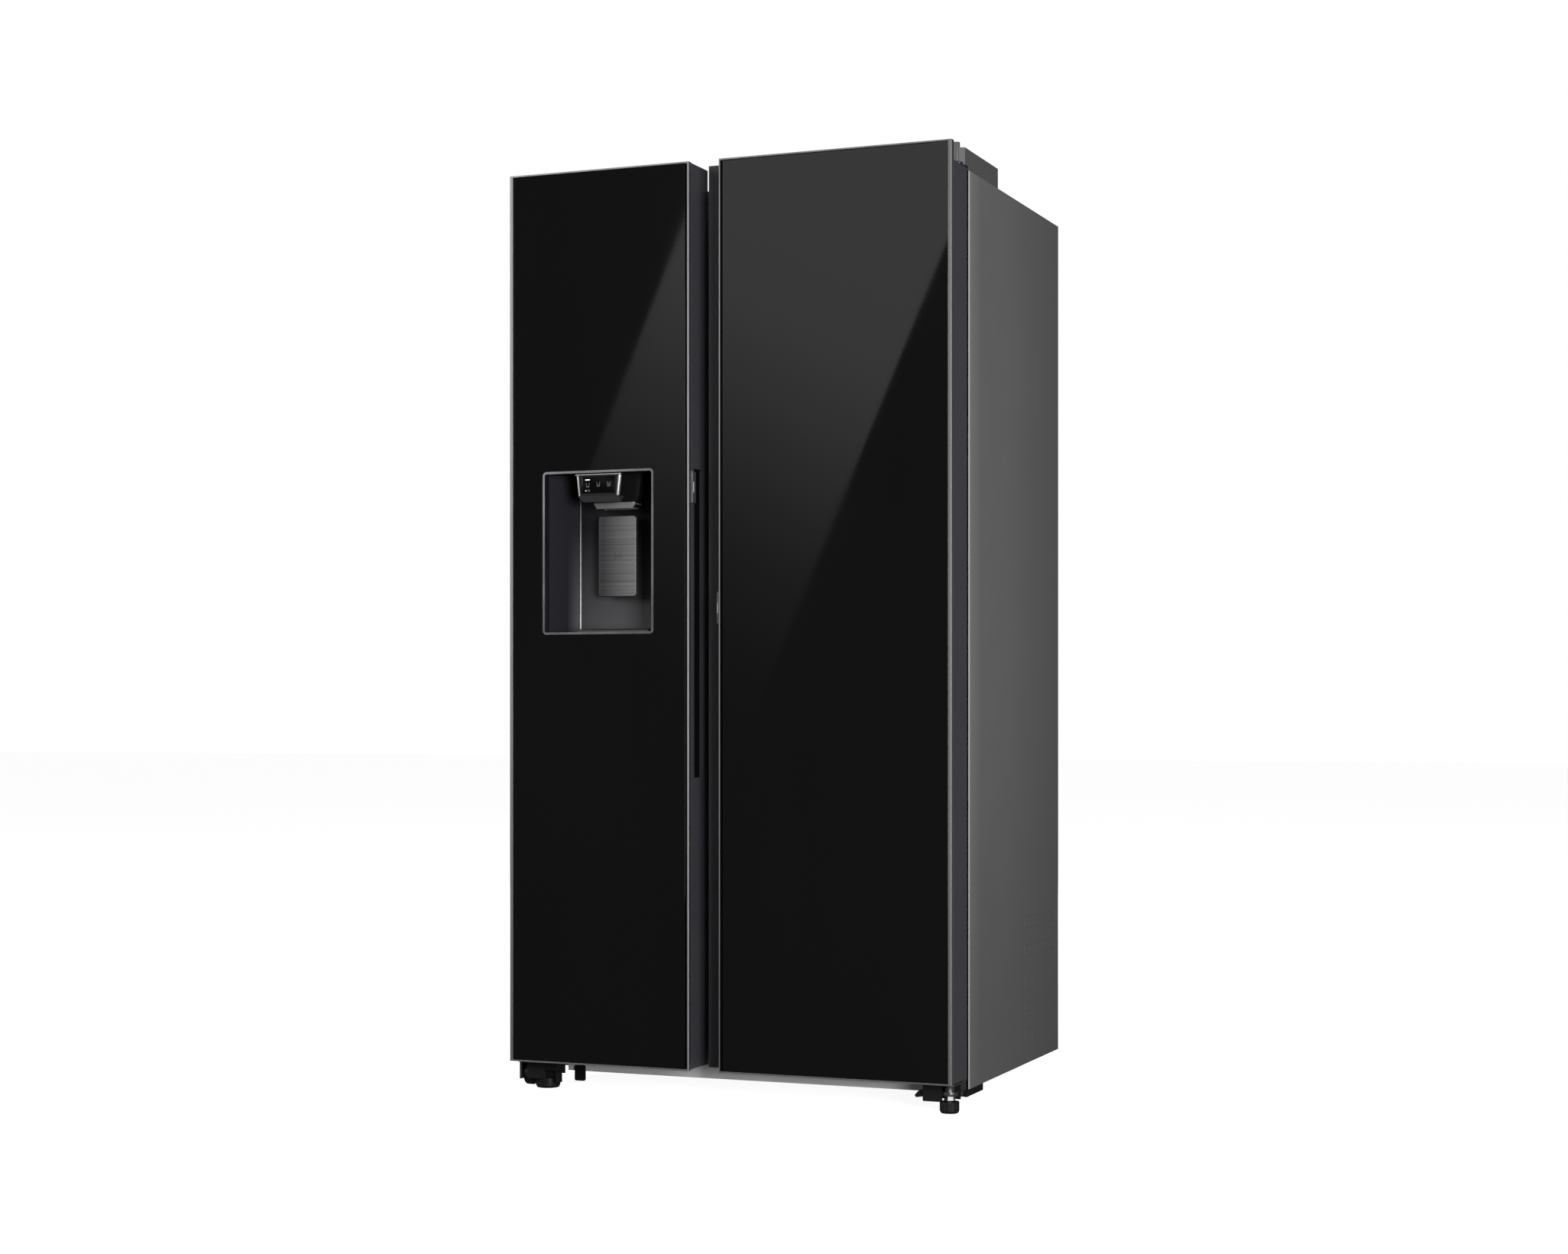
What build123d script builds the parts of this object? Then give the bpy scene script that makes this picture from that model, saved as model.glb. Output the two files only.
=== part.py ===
from build123d import *
import os
from math import cos, pi, sin

# Side by side refrigerator, millimetres, +Z up, doors facing -Y.
# The origin is on the floor under the middle of the outline.

# Overall sizes
WIDTH = 912.0
DEPTH = 716.0
HALF = WIDTH / 2
FRONT = -DEPTH / 2
BACK = DEPTH / 2
SHEET = 1.5            # painted steel
PANEL = 2.0            # moulded plastic liners

# Doors
DOOR_THICK = 91.5
DOOR_BACK = FRONT + DOOR_THICK
PANEL_THICK = 12.0     # glass panel with its metal frame
SHELL_FRONT = FRONT + PANEL_THICK
DOOR_LOW = 56.0
DOOR_HIGH = 1794.0
SHELL_LOW = DOOR_LOW + 2.0
SHELL_HIGH = DOOR_HIGH - 1.0
LEFT_EDGE = -71.4      # free edge of the freezer door
RIGHT_EDGE = -9.5      # free edge of the fridge door's front
FLANGE_EDGE = -52.0    # free edge of the fridge door's set-back flange
FLANGE_FRONT = FRONT + 52.0
FRAME_SIDE = 7.0       # visible width of the bright frame, sides
FRAME_END = 3.0        # and top and bottom
NOTCH_TOP = 1758.0     # door top under the hinge cover
NOTCH_EDGE = 300.0

# Cabinet
CAB_FRONT = DOOR_BACK + 13.1
CAB_LOW = 36.0
CAB_HIGH = 1756.0
ROOM_FRONT = 140.0     # machine room at the lower back
ROOM_HIGH = 322.0
CORNER = 8.0           # rounded front edge of the side panels

# Cold compartments, inside faces
FLOOR = 120.0
CEILING = 1696.0
INNER_BACK = 296.0
STEP_FRONT = 100.0
STEP_HIGH = 372.0
DRAWER_TOP = 542.0
FREEZER = (-411.0, -95.0)
FRIDGE = (-28.0, 411.0)

# Hinges
HINGE_X = 440.0
HINGE_Y = FRONT + 78.0
PIN_R = 6.0
PIN_PLAY = 0.35

# Dispenser recess in the freezer door
NICHE = (-379.0, -150.0, 897.0, 1206.0)
NICHE_WALL = 2.5
NICHE_BACK = FRONT + 65.0
RIDGE_X = -333.0
SPOUT_X = -243.0

# Grip recesses in the free edges of the doors
GRIP_LOW = 616.0
GRIP_HIGH = 1209.0

# Door lining and storage
LINING_LOW = 132.0
LINING_HIGH = 1684.0
DYKE_WIDE = 15.0
DYKE_FRONT = FRONT + 150.0
BIN_WALL = 2.5
BIN_BACK = DOOR_BACK + 9.0
BIN_FRONT = FRONT + 200.0
BIN_HIGH = 110.0
LEFT_BINS = (170, 450, 730, 1000)
RIGHT_BINS = (170, 450, 730, 1010, 1290)
FREEZER_SHELVES = (552, 800, 1050, 1310)
FRIDGE_SHELVES = (552, 770, 1000, 1230, 1460)
PANE = 4.0             # thickness of a glass shelf
DRAWER_FACE = -134.0
DRAWER_BACK = 94.0

# Ice maker and bucket on the freezer door
ICE_X = (-352.0, -134.0)
ICE_LOW = 1310.0
AUGER_Y = FRONT + 150.0
AUGER_Z = 1352.0

# Feet, rollers and machine room
RIGHT_FOOT = (437.5, FRONT + 44.0)
LEFT_FOOT = (-403.0, FRONT + 62.0)
STEM_R = 5.0
STEM_BORE = 5.3
FRONT_AXLE = (FRONT + 66.0, 24.5)
REAR_AXLE = (312.0, 16.0)
REAR_ROLLER_X = 367.5
AXLE_R = 5.0
POT = (260.0, 245.0)
FREEZER_FAN = (-253.0, 262.0, 1180.0)
CONDENSER_FAN = (81.0, 245.0, 150.0)
VALVE = (-400.0, 250.0)
GLAND = (405.0, 100.0)

os.makedirs("parts", exist_ok=True)


def block(x0, x1, y0, y1, z0, z1):
    centre = Pos((x0 + x1) / 2, (y0 + y1) / 2, (z0 + z1) / 2)
    return centre * Box(abs(x1 - x0), abs(y1 - y0), abs(z1 - z0))


def rounded(x0, x1, y0, y1, z0, z1, radius, axis=Axis.Z):
    body = block(x0, x1, y0, y1, z0, z1)
    return fillet(body.edges().filter_by(axis), radius)


def rod(x, y, z0, z1, radius):
    return Pos(x, y, (z0 + z1) / 2) * Cylinder(radius, z1 - z0)


def rod_x(x0, x1, y, z, radius):
    return Pos((x0 + x1) / 2, y, z) * Rot(0, 90, 0) * Cylinder(radius, x1 - x0)


def rod_y(x, y0, y1, z, radius):
    return Pos(x, (y0 + y1) / 2, z) * Rot(90, 0, 0) * Cylinder(radius, y1 - y0)


def mirrored(shape):
    return mirror(shape, about=Plane.YZ)


def both(shape):
    return [shape, mirrored(shape)]


def save(name, shape):
    if isinstance(shape, (list, tuple)):
        shape = Compound(children=list(shape))
    export_step(shape, f"parts/{name}.step")


def tray(x0, x1, y0, y1, z0, z1, wall, radius=12.0):
    """An open-topped box with rounded upright corners."""
    outer = rounded(x0, x1, y0, y1, z0, z1, radius)
    inner = rounded(x0 + wall, x1 - wall, y0 + wall, y1 - wall, z0 + wall, z1 + 1, radius - wall)
    return outer - inner


# ---------------------------------------------------------------- cabinet

def side_panel():
    """Right-hand steel side with a rounded front edge and shallow pressed outlines."""
    outer = block(HALF - 26, HALF, CAB_FRONT, BACK, CAB_LOW, CAB_HIGH)
    edge = outer.edges().filter_by(Axis.Z).sort_by(Axis.X)[-2:].sort_by(Axis.Y)[0]
    outer = fillet(edge, CORNER)
    hollow = block(HALF - 40, HALF - SHEET, CAB_FRONT + SHEET, BACK + 5, CAB_LOW - 1, CAB_HIGH + 1)
    edge = hollow.edges().filter_by(Axis.Z).sort_by(Axis.X)[-2:].sort_by(Axis.Y)[0]
    panel = outer - fillet(edge, CORNER - SHEET)
    presses = [(108, 332, 307, 331), (108, 332, 251, 274)]
    presses += [(111, 165, low, low + 29) for low in (77, 129.5, 182)]
    for y0, y1, z0, z1 in presses:
        groove = rounded(HALF - 0.5, HALF + 1, y0, y1, z0, z1, 4, Axis.X)
        groove -= rounded(HALF - 1, HALF + 2, y0 + 2, y1 - 2, z0 + 2, z1 - 2, 2.5, Axis.X)
        panel -= groove
    return panel


def top_panel():
    edge = HALF - SHEET - 0.2
    plate = block(-edge, edge, CAB_FRONT + 9, BACK - 3.2, CAB_HIGH - SHEET, CAB_HIGH)
    plate += block(-HALF + 26.5, HALF - 26.5, CAB_FRONT, CAB_FRONT + 10, CAB_HIGH - SHEET, CAB_HIGH)
    lip = block(-HALF + 26.5, HALF - 26.5, CAB_FRONT, CAB_FRONT + SHEET, 1726, CAB_HIGH)
    return plate + lip


def back_panel():
    edge = HALF - SHEET - 0.3
    return block(-edge, edge, BACK - 4.5, BACK - 3, ROOM_HIGH + 6, CAB_HIGH - SHEET - 0.2)


def base_pan():
    edge = HALF - SHEET - 0.3
    floor = block(-edge, edge, CAB_FRONT + 10, BACK - 5, CAB_LOW, CAB_LOW + SHEET)
    wall = block(-edge, edge, ROOM_FRONT, ROOM_FRONT + SHEET, CAB_LOW, ROOM_HIGH)
    roof = block(-edge, edge, ROOM_FRONT, BACK - 5, ROOM_HIGH - SHEET, ROOM_HIGH)
    return floor + wall + roof


def lower_rail():
    face = rounded(-380, 380, CAB_FRONT, CAB_FRONT + 8, 28, 57, 2.5, Axis.X)
    foot = block(-380, 380, CAB_FRONT + 8, CAB_FRONT + 9.8, 37.7, 57)
    return face + foot


def foam_blocks():
    """Foam filling as one convex block for each wall of the cabinet."""
    side = HALF - SHEET - 0.3
    y0 = CAB_FRONT + 10.2
    y1 = BACK - 4.8
    z0 = CAB_LOW + SHEET + 0.2
    z1 = CAB_HIGH - SHEET - 0.3
    wall = FRIDGE[1] + PANEL + 0.2
    room = ROOM_FRONT - 0.2
    above = ROOM_HIGH + 0.2
    mullion = (FREEZER[1] + PANEL + 0.2, FRIDGE[0] - PANEL - 0.2)
    blocks = []
    for sign in (-1, 1):
        blocks.append(block(sign * wall, sign * side, y0, room, z0, z1))
        blocks.append(block(sign * wall, sign * side, room + 0.4, y1, above, z1))
    blocks.append(block(mullion[0], mullion[1], y0, room, FLOOR + 0.2, CEILING - 0.2))
    blocks.append(block(mullion[0], mullion[1], room + 0.4, INNER_BACK, above, CEILING - 0.2))
    blocks.append(block(-wall + 0.2, wall - 0.2, y0, y1, CEILING + PANEL + 0.2, z1))
    blocks.append(block(-wall + 0.2, wall - 0.2, y0, STEP_FRONT - 0.4, z0, FLOOR - PANEL - 0.2))
    step_low = STEP_FRONT + PANEL + 0.2
    step_top = STEP_HIGH - PANEL - 0.2
    blocks.append(block(-wall + 0.2, mullion[0] - 0.2, step_low, room, z0, step_top))
    blocks.append(block(mullion[1] + 0.2, wall - 0.2, step_low, room, z0, step_top))
    blocks.append(block(-wall + 0.2, mullion[0] - 0.2, room + 0.4, y1, above, step_top))
    blocks.append(block(mullion[1] + 0.2, wall - 0.2, room + 0.4, y1, above, step_top))
    back = INNER_BACK + PANEL + 0.2
    blocks.append(block(-wall + 0.2, wall - 0.2, back, y1, step_top + 0.4, CEILING + PANEL))
    return blocks


def liner(span, hinge_side, ledges, pad_high):
    """White inner box, open at the front, with shelf ledges and a step over the machine room."""
    x0, x1 = span
    y0 = CAB_FRONT + 2.4
    shell = block(x0 - PANEL, x1 + PANEL, y0, INNER_BACK + PANEL, FLOOR - PANEL, CEILING + PANEL)
    shell -= block(x0, x1, y0 - 1, STEP_FRONT, FLOOR, CEILING)
    shell -= block(x0, x1, y0 - 1, INNER_BACK, STEP_HIGH, CEILING)
    below = STEP_FRONT + PANEL
    shell -= block(x0 - 9, x1 + 9, below, INNER_BACK + 9, FLOOR - 9, STEP_HIGH - PANEL)
    outer = x0 - 18 if hinge_side < 0 else x0 - 0.2
    other = x1 + 0.2 if hinge_side < 0 else x1 + 18
    flange = block(outer, other, y0 - 2, y0 + PANEL, 58, 1724)
    flange -= block(x0, x1, y0 - 3, y0 + 9, FLOOR, CEILING)
    shell += flange
    for z in ledges:
        for x, side in ((x0, 1), (x1, -1)):
            shell += block(x - side * 0.5, x + side * 5, -135, 225, z - 9, z - 0.4)
    pad = (x0 - 0.5, x0 + 58) if hinge_side < 0 else (x1 - 58, x1 + 0.5)
    shell += block(pad[0], pad[1], -140, STEP_FRONT + 0.5, FLOOR - 0.5, pad_high)
    shell -= block(pad[0] + 2.5, pad[1] - 2.5, -130, STEP_FRONT - 2, FLOOR - 5, pad_high - 2.5)
    return shell


def mullion_cover():
    """Steel strip down the front between the two compartments."""
    face = block(FREEZER[1] + 1.2, FRIDGE[0] - 1.2, CAB_FRONT, CAB_FRONT + SHEET, 58, 1724)
    return face + block(-75, -48, CAB_FRONT + SHEET, CAB_FRONT + 6, 130, 1690)


def shelf_places():
    """Span, rear edge and height of every glass shelf."""
    places = [(FREEZER, 228, z) for z in FREEZER_SHELVES]
    return places + [(FRIDGE, 262, z) for z in FRIDGE_SHELVES]


def glass_shelves():
    return [rounded(span[0] + 1, span[1] - 1, -139, rear, z, z + PANE, 6) for span, rear, z in shelf_places()]


def shelf_trims():
    """Front and rear edge bars of the glass shelves, grooved for the pane."""
    bars = []
    for span, rear, z in shelf_places():
        x0, x1 = span[0] + 6, span[1] - 6
        groove = block(span[0], span[1], -139.2, rear + 0.2, z - 0.2, z + PANE + 0.2)
        for y0, y1 in ((-145, -130), (rear - 6, rear + 3)):
            bars.append(rounded(x0, x1, y0, y1, z - 8, z + 8, 2.5, Axis.X) - groove)
    return bars


def vent_slots(x0, x1, y0, y1, levels, count):
    pitch = (x1 - x0) / count
    cut = []
    for z in levels:
        for i in range(count):
            x = x0 + pitch * (i + 0.5)
            cut.append(rounded(x - pitch * 0.3, x + pitch * 0.3, y0, y1, z - 4, z + 4, 3.5, Axis.Y))
    return cut


def freezer_air_cover():
    """Rear wall of the freezer, with air slots."""
    x0, x1 = FREEZER[0] + 1, FREEZER[1] - 1
    cover = rounded(x0, x1, 236, INNER_BACK - 1, 380, CEILING - 4, 4, Axis.Y)
    cover -= block(x0 + 2.5, x1 - 2.5, 238.5, INNER_BACK + 1, 382.5, CEILING - 6.5)
    return cover - vent_slots(x0 + 40, x1 - 40, 230, 245, (648, 898, 1168, 1448), 8)


def freezer_fan_motor():
    """Motor of the freezer's fan on a bar between the cover's sides."""
    motor = rod_y(FREEZER_FAN[0], 275, INNER_BACK - 1, FREEZER_FAN[2], 18)
    return motor + block(FREEZER[0] + 3.5, FREEZER[1] - 3.5, 284, INNER_BACK - 1, 1172, 1188)


def fridge_air_cover():
    """Air duct up the back of the fridge."""
    duct = rounded(110, 275, 272, INNER_BACK - 0.5, 620, 1660, 4, Axis.Y)
    duct -= block(113, 272, 275, INNER_BACK + 1, 623, 1657)
    return duct - vent_slots(130, 255, 268, 280, (708, 938, 1168, 1408, 1600), 4)


def led_lamps():
    lamps = []
    for x0, x1 in ((-310, -196), (130, 253)):
        lamp = block(x0, x1, -118, -78, CEILING - 7, CEILING - 0.2)
        lamps.append(fillet(lamp.edges().filter_by(Axis.Z), 8))
    lamps.append(rounded(FRIDGE[1] - 5, FRIDGE[1] - 0.2, -90, -66, 1015, 1215, 2, Axis.X))
    return lamps


def evaporator():
    """Finned tube cooler behind the freezer's rear wall."""
    coil = rod_x(-392, -114, 252, 700, 4)
    rows = [(252 + 28 * (i % 2), 700 + 34 * (i // 2)) for i in range(16)]
    for y, z in rows[1:]:
        coil += rod_x(-392, -114, y, z, 4)
    for i in range(18):
        x = -380 + i * 15
        coil += block(x, x + 1.2, 243, 290, 690, 950)
    coil += block(-394, -390, 243, 290, 690, 950)
    coil += block(-116, -112, 243, 290, 690, 950)
    return coil


def compressor():
    """Hermetic pot on its feet and rubber studs, with the starter box and a pipe stub."""
    pot = Pos(*POT, 134) * Cylinder(78, 120)
    pot = fillet(pot.edges().filter_by(GeomType.CIRCLE), 30)
    pot += Pos(*POT, 67) * Cylinder(52, 20)
    pot += rounded(POT[0] - 84, POT[0] + 84, POT[1] - 67, POT[1] + 67, 50, 60, 14)
    pot += rounded(POT[0] - 100, POT[0] - 74, POT[1] - 30, POT[1] + 30, 105, 165, 6, Axis.X)
    for dx in (-68, 68):
        for dy in (-51, 51):
            pot += rod(POT[0] + dx, POT[1] + dy, CAB_LOW + SHEET, 51, 11)
    return pot + rod(POT[0] - 45, POT[1] + 40, 180, 240, 4)


def condenser():
    """Coil and fins in the machine room, with the fan shroud and motor."""
    low = CAB_LOW + SHEET
    unit = block(-180, -176, 165, 325, low, 255) + block(56, 60, 165, 325, low, 255)
    for i in range(14):
        y = 180 + 44 * (i % 4)
        z = 70 + 46 * (i // 4)
        unit += rod_x(-190, 62, y, z, 4)
    for i in range(15):
        x = -164 + i * 14.5
        unit += block(x, x + 1.2, 168, 322, low + 8, 250)
    fan_x, fan_y, fan_z = CONDENSER_FAN
    unit += block(66, 70, 165, 325, low, 255) - rod_x(60, 80, fan_y, fan_z, 74)
    unit += block(56, 70, 165, 325, 248, 255)
    unit += block(66, fan_x + 41, fan_y - 9, fan_y + 9, low, 44)
    unit += block(fan_x + 19, fan_x + 31, fan_y - 5, fan_y + 5, 40, fan_z)
    return unit + rod_x(fan_x + 11, fan_x + 41, fan_y, fan_z, 22)


def machine_cover():
    """Vented plate over the machine room at the back."""
    edge = HALF - SHEET - 1
    plate = block(-edge, edge, BACK - 4.5, BACK - 3, CAB_LOW + 4, ROOM_HIGH + 5)
    for x0 in (-300, -60, 180):
        for i in range(8):
            z = 90 + i * 22
            plate -= rounded(x0, x0 + 160, BACK - 9, BACK + 1, z, z + 7, 3, Axis.Y)
    plate -= rod_y(VALVE[0], BACK - 9, BACK + 1, VALVE[1], 15)
    return plate - rod_y(GLAND[0], BACK - 9, BACK + 1, GLAND[1], 12)


def water_valve():
    """Inlet valve with the push-in socket for the household water tube."""
    x, z = VALVE
    body = rounded(x - 25, x + 25, BACK - 52, BACK - 16, z - 28, z + 28, 6, Axis.Y)
    body += rod_y(x, BACK - 20, BACK - 0.5, z, 12)
    body += rod(x, BACK - 34, z + 25, 312, 13)
    body += block(x - 12, x + 12, BACK - 40, BACK - 28, 310, ROOM_HIGH - SHEET)
    return body - rod_y(x, BACK - 18.5, BACK + 1, z, 3.2)


def power_inlet():
    """Gland for the supply lead."""
    x, z = GLAND
    gland = rod_y(x, BACK - 24, BACK - 2, z, 11) + rod_y(x, BACK - 2.9, BACK - 0.5, z, 15)
    gland += block(x - 11, HALF - SHEET - 0.2, BACK - 24, BACK - 16, z - 8, z + 8)
    return gland - rod_y(x, BACK - 14, BACK + 1, z, 4)


# ---------------------------------------------------------------- hinges and feet

def hinge_cover():
    """Moulded cover over the right-hand top hinge, with the post over its pin."""
    lid = block(335, HALF, HINGE_Y - 9, -70, CAB_HIGH + 0.2, DOOR_HIGH)
    front = lid.edges().filter_by(Axis.Z).sort_by(Axis.Y)[:2].sort_by(Axis.X)
    lid = chamfer(front[1], 11, 22)
    edges = lid.edges().filter_by(Axis.Z).sort_by(Axis.Y)[:1]
    lid = fillet(edges, 6)
    lid -= block(338, HALF - 3, CAB_FRONT + 8, -73, CAB_HIGH - 1, DOOR_HIGH - 3)
    lid -= block(330, HALF + 1, HINGE_Y - 20, CAB_FRONT + 1, CAB_HIGH - 1, 1762)
    lid -= block(380, 452.6, HINGE_Y - 20, CAB_FRONT + 9, CAB_HIGH - 1, 1767)
    lid -= block(380, 444, HINGE_Y - 20, HINGE_Y, 1762, 1768)
    lid += rod(HINGE_X, HINGE_Y, 1768, 1804, 6.5)
    return lid


def upper_hinge():
    plate = rounded(385, 452, HINGE_Y - 12, -120, 1762.5, 1766, 6)
    plate += block(392, 446, CAB_FRONT + 12, -122, CAB_HIGH + 0.2, 1763)
    return plate + rod(HINGE_X, HINGE_Y, 1736, 1763, PIN_R)


def lower_hinge():
    """Plate under the door with its pin, front boss and rear fixing flange."""
    plate = rounded(386, 452, FRONT + 26, CAB_FRONT, 51, 54, 6)
    plate += block(386, 450, CAB_FRONT - 3, CAB_FRONT - 0.2, 22, 54)
    return plate + rod(HINGE_X, HINGE_Y, 53, 76, PIN_R)


def stem_bore(place):
    return rod(*place, 20, 60, STEM_BORE)


def foot_boss():
    """Threaded boss and washer that the right foot's stem turns in."""
    boss = rod(*RIGHT_FOOT, 39, 51.5, 9) + rod(*RIGHT_FOOT, 32, 39, 15.5)
    return boss - stem_bore(RIGHT_FOOT)


def door_hinges():
    """Both lower plates, the left one with its roller cheek, and both upper plates."""
    lower = lower_hinge()
    right = (lower - stem_bore(RIGHT_FOOT)) + foot_boss()
    left = mirrored(lower) - stem_bore(LEFT_FOOT)
    left += block(-HALF + 1, -HALF + 5, FRONT + 40, CAB_FRONT - 13, 16, 54)
    return [right, left] + both(upper_hinge())


def front_brackets():
    """Blocks, hooks and side brackets that show under the doors."""
    right = rounded(391, 428, FRONT + 26, FRONT + 31, 21.7, 50.8, 2, Axis.Y)
    right += block(392, 418, FRONT + 30, FRONT + 50, 24, 50.8)
    hook = Plane.XZ * Polyline((391.5, 40), (380, 39), (373, 31), (376, 27), (391.5, 29.5), close=True)
    right += extrude(make_face(hook), 8, both=True).moved(Location((0, FRONT + 40, 0)))
    left = rounded(-431.4, -391, FRONT + 26, FRONT + 50, 21, 50.8, 2, Axis.Y)
    plate = block(-391.5, -366, FRONT + 28, FRONT + 50, 38, 50.8)
    plate += block(-376.5, -366, FRONT + 40, FRONT + 50, 13, 50.8)
    plate += block(-391.5, -366, FRONT + 46, FRONT + 50, 22, 50.8)
    tab = rounded(-364, -341, CAB_FRONT - 4, CAB_FRONT - 0.3, 9, 40, 4, Axis.Y)
    side = block(HALF - 5, HALF - 0.3, CAB_FRONT - 12, -165, 23, CAB_LOW - 0.2)
    for z in (25.5, 30.5):
        side -= block(HALF - 1.5, HALF + 1, -232, -178, z, z + 2.2)
    side += block(HALF - 22, HALF - 5, CAB_FRONT + 0.3, -165, CAB_LOW - 4, CAB_LOW - 0.2)
    behind = block(414, 451, FRONT + 66, FRONT + 70, 22.5, 50.9)
    return [right, left + plate, tab, behind] + both(side)


def ribbed_knob(radius, low, high, ribs=20):
    """Foot with grip ribs round it and a tapered base."""
    knob = Pos(0, 0, (low + high) / 2) * Cylinder(radius, high - low)
    knob = chamfer(knob.edges().sort_by(Axis.Z)[0], 4.5, 2.5)
    knob = fillet(knob.edges().sort_by(Axis.Z)[-1], 1.5)
    for i in range(ribs):
        turn = 2 * pi * (i + 0.5) / ribs
        groove = Cylinder(1.1, high - low + 2)
        place = Pos((radius + 0.3) * cos(turn), (radius + 0.3) * sin(turn), (low + high) / 2)
        knob -= place * groove
    return knob


def foot(x, y, radius, high):
    """Ribbed foot with its stem."""
    knob = ribbed_knob(radius, 0, high)
    return (knob + rod(0, 0, high - 1, 50, STEM_R)).moved(Location((x, y, 0)))


def roller(radius, width):
    """Wheel on the X axis with a rounded tread."""
    wheel = Rot(0, 90, 0) * Cylinder(radius, width)
    wheel = fillet(wheel.edges().filter_by(GeomType.CIRCLE), 3)
    return wheel - Rot(0, 90, 0) * Cylinder(AXLE_R + PIN_PLAY, width + 2)


def rear_axles():
    """Brackets and axles of the back rollers."""
    y, z = REAR_AXLE
    frame = rod_x(REAR_ROLLER_X - 11, REAR_ROLLER_X + 11, y, z, AXLE_R)
    for x in (REAR_ROLLER_X - 14, REAR_ROLLER_X + 10):
        frame += block(x, x + 4, y - 22, y + 22, 10, CAB_LOW - 0.1)
    return both(frame)


# ---------------------------------------------------------------- drawers

def drawer(x0, x1, z0, z1):
    """Clear tub with a thicker front and a grip lip."""
    tub = tray(x0, x1, DRAWER_FACE + 5, DRAWER_BACK, z0, z1, BIN_WALL, 7)
    face = rounded(x0, x1, DRAWER_FACE, DRAWER_FACE + 7.5, z0, z1 + 6, 3, Axis.Z)
    return tub + face + block(x0 + 8, x1 - 8, DRAWER_FACE - 7, DRAWER_FACE + 7.5, z1 + 3, z1 + 6)


# ---------------------------------------------------------------- doors

def front_panel(x0, x1, opening=None):
    """Glass pane and the bright metal frame round it."""
    frame = block(x0, x1, FRONT, SHELL_FRONT - 0.2, DOOR_LOW, DOOR_HIGH)
    frame = chamfer(frame.edges().filter_by(Axis.Z).sort_by(Axis.Y)[:2], 1.2)
    gx0, gx1 = x0 + FRAME_SIDE, x1 - FRAME_SIDE
    gz0, gz1 = DOOR_LOW + FRAME_END, DOOR_HIGH - FRAME_END
    frame -= block(gx0, gx1, FRONT - 1, SHELL_FRONT + 1, gz0, gz1)
    pane = block(gx0 + 0.2, gx1 - 0.2, FRONT + 1.1, SHELL_FRONT - 0.2, gz0 + 0.2, gz1 - 0.2)
    pane = chamfer(pane.edges().group_by(Axis.Y)[0], 0.8)
    if opening:
        pane -= opening
    return pane, frame


def niche_outline(y0, y1, grow):
    """Plan of the dispenser recess: a swept left wall, a ridge and a flat back."""
    x0, x1 = NICHE[0] - grow, NICHE[1] + grow
    corner = 18.0
    start = Line((x1, y0), (x1, y1 - corner))
    turn = TangentArc(start @ 1, (x1 - corner, y1), tangent=start % 1)
    back = Line(turn @ 1, (RIDGE_X - grow, y1))
    sweep = ThreePointArc(back @ 1, (RIDGE_X - 15 - grow, y1 - 16), (x0, FRONT + 19))
    side = Line(sweep @ 1, (x0, y0))
    front = Line(side @ 1, start @ 0)
    return make_face(Wire([start, turn, back, sweep, side, front]))


def niche_solid(y0, y1, grow):
    low, high = NICHE[2] - grow, NICHE[3] + grow
    return extrude(Pos(0, 0, low) * niche_outline(y0, y1, grow), high - low)


def dispenser_niche():
    """Moulded recess with its bead, drip shelf and the mouth of the ice passage."""
    outer = niche_solid(FRONT + 12.1, NICHE_BACK + NICHE_WALL, NICHE_WALL)
    inner = niche_solid(FRONT + 11, NICHE_BACK, 0)
    recess = outer - inner
    recess += rod(RIDGE_X + 1, NICHE_BACK - 0.5, NICHE[2] - 1, NICHE[3] + 1, 3)
    recess += block(RIDGE_X + 20, NICHE[1] - 12, FRONT + 13, NICHE_BACK - 8, NICHE[2] - 1, NICHE[2] + 3)
    return recess - chute_mouth()


def chute_mouth():
    return block(SPOUT_X - 36, SPOUT_X + 36, FRONT + 28, FRONT + 62, NICHE[3] - 1, NICHE[3] + 6)


def chute_cut():
    """Ice passage from the ice bin through the door to the recess."""
    down = block(SPOUT_X - 38, SPOUT_X + 38, FRONT + 26, FRONT + 64, NICHE[3], 1330)
    return down + block(SPOUT_X - 38, SPOUT_X + 38, FRONT + 26, DOOR_BACK + 9, 1252, 1330)


def niche_frame(y0, y1, grow, radius):
    x0, x1, z0, z1 = NICHE[0] - grow, NICHE[1] + grow, NICHE[2] - grow, NICHE[3] + grow
    return rounded(x0, x1, y0, y1, z0, z1, radius, Axis.Y)


def dispenser_trim():
    """Bright lip round the recess with a sleeve that reaches through the glass."""
    ring = niche_frame(FRONT, FRONT + 0.9, 4.4, 8)
    ring += niche_frame(FRONT + 0.5, FRONT + 12, 2.4, 6)
    return ring - niche_frame(FRONT - 1, FRONT + 13, 0, 4)


def dispenser_panel():
    """Control housing that hangs from the top of the recess, chamfered below."""
    middle = (NICHE[0] + NICHE[1]) / 2
    top = Plane((middle, FRONT + 15, NICHE[3] - 0.2))
    mid = Plane((middle, FRONT + 15, 1161))
    low = Plane((middle, FRONT + 19.5, 1150))
    wide = loft([top * Rectangle(96, 24), mid * Rectangle(87, 24)])
    wide = fillet(wide.edges().group_by(Axis.Y)[0].filter_by(lambda e: abs((e % 0.5).Z) > 0.9), 4)
    chin = loft([mid * Rectangle(87, 24), low * Rectangle(73, 15)])
    glass = block(middle - 36, middle + 36, FRONT + 2.4, FRONT + 5, 1166, 1199)
    return wide - glass + chin


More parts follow.
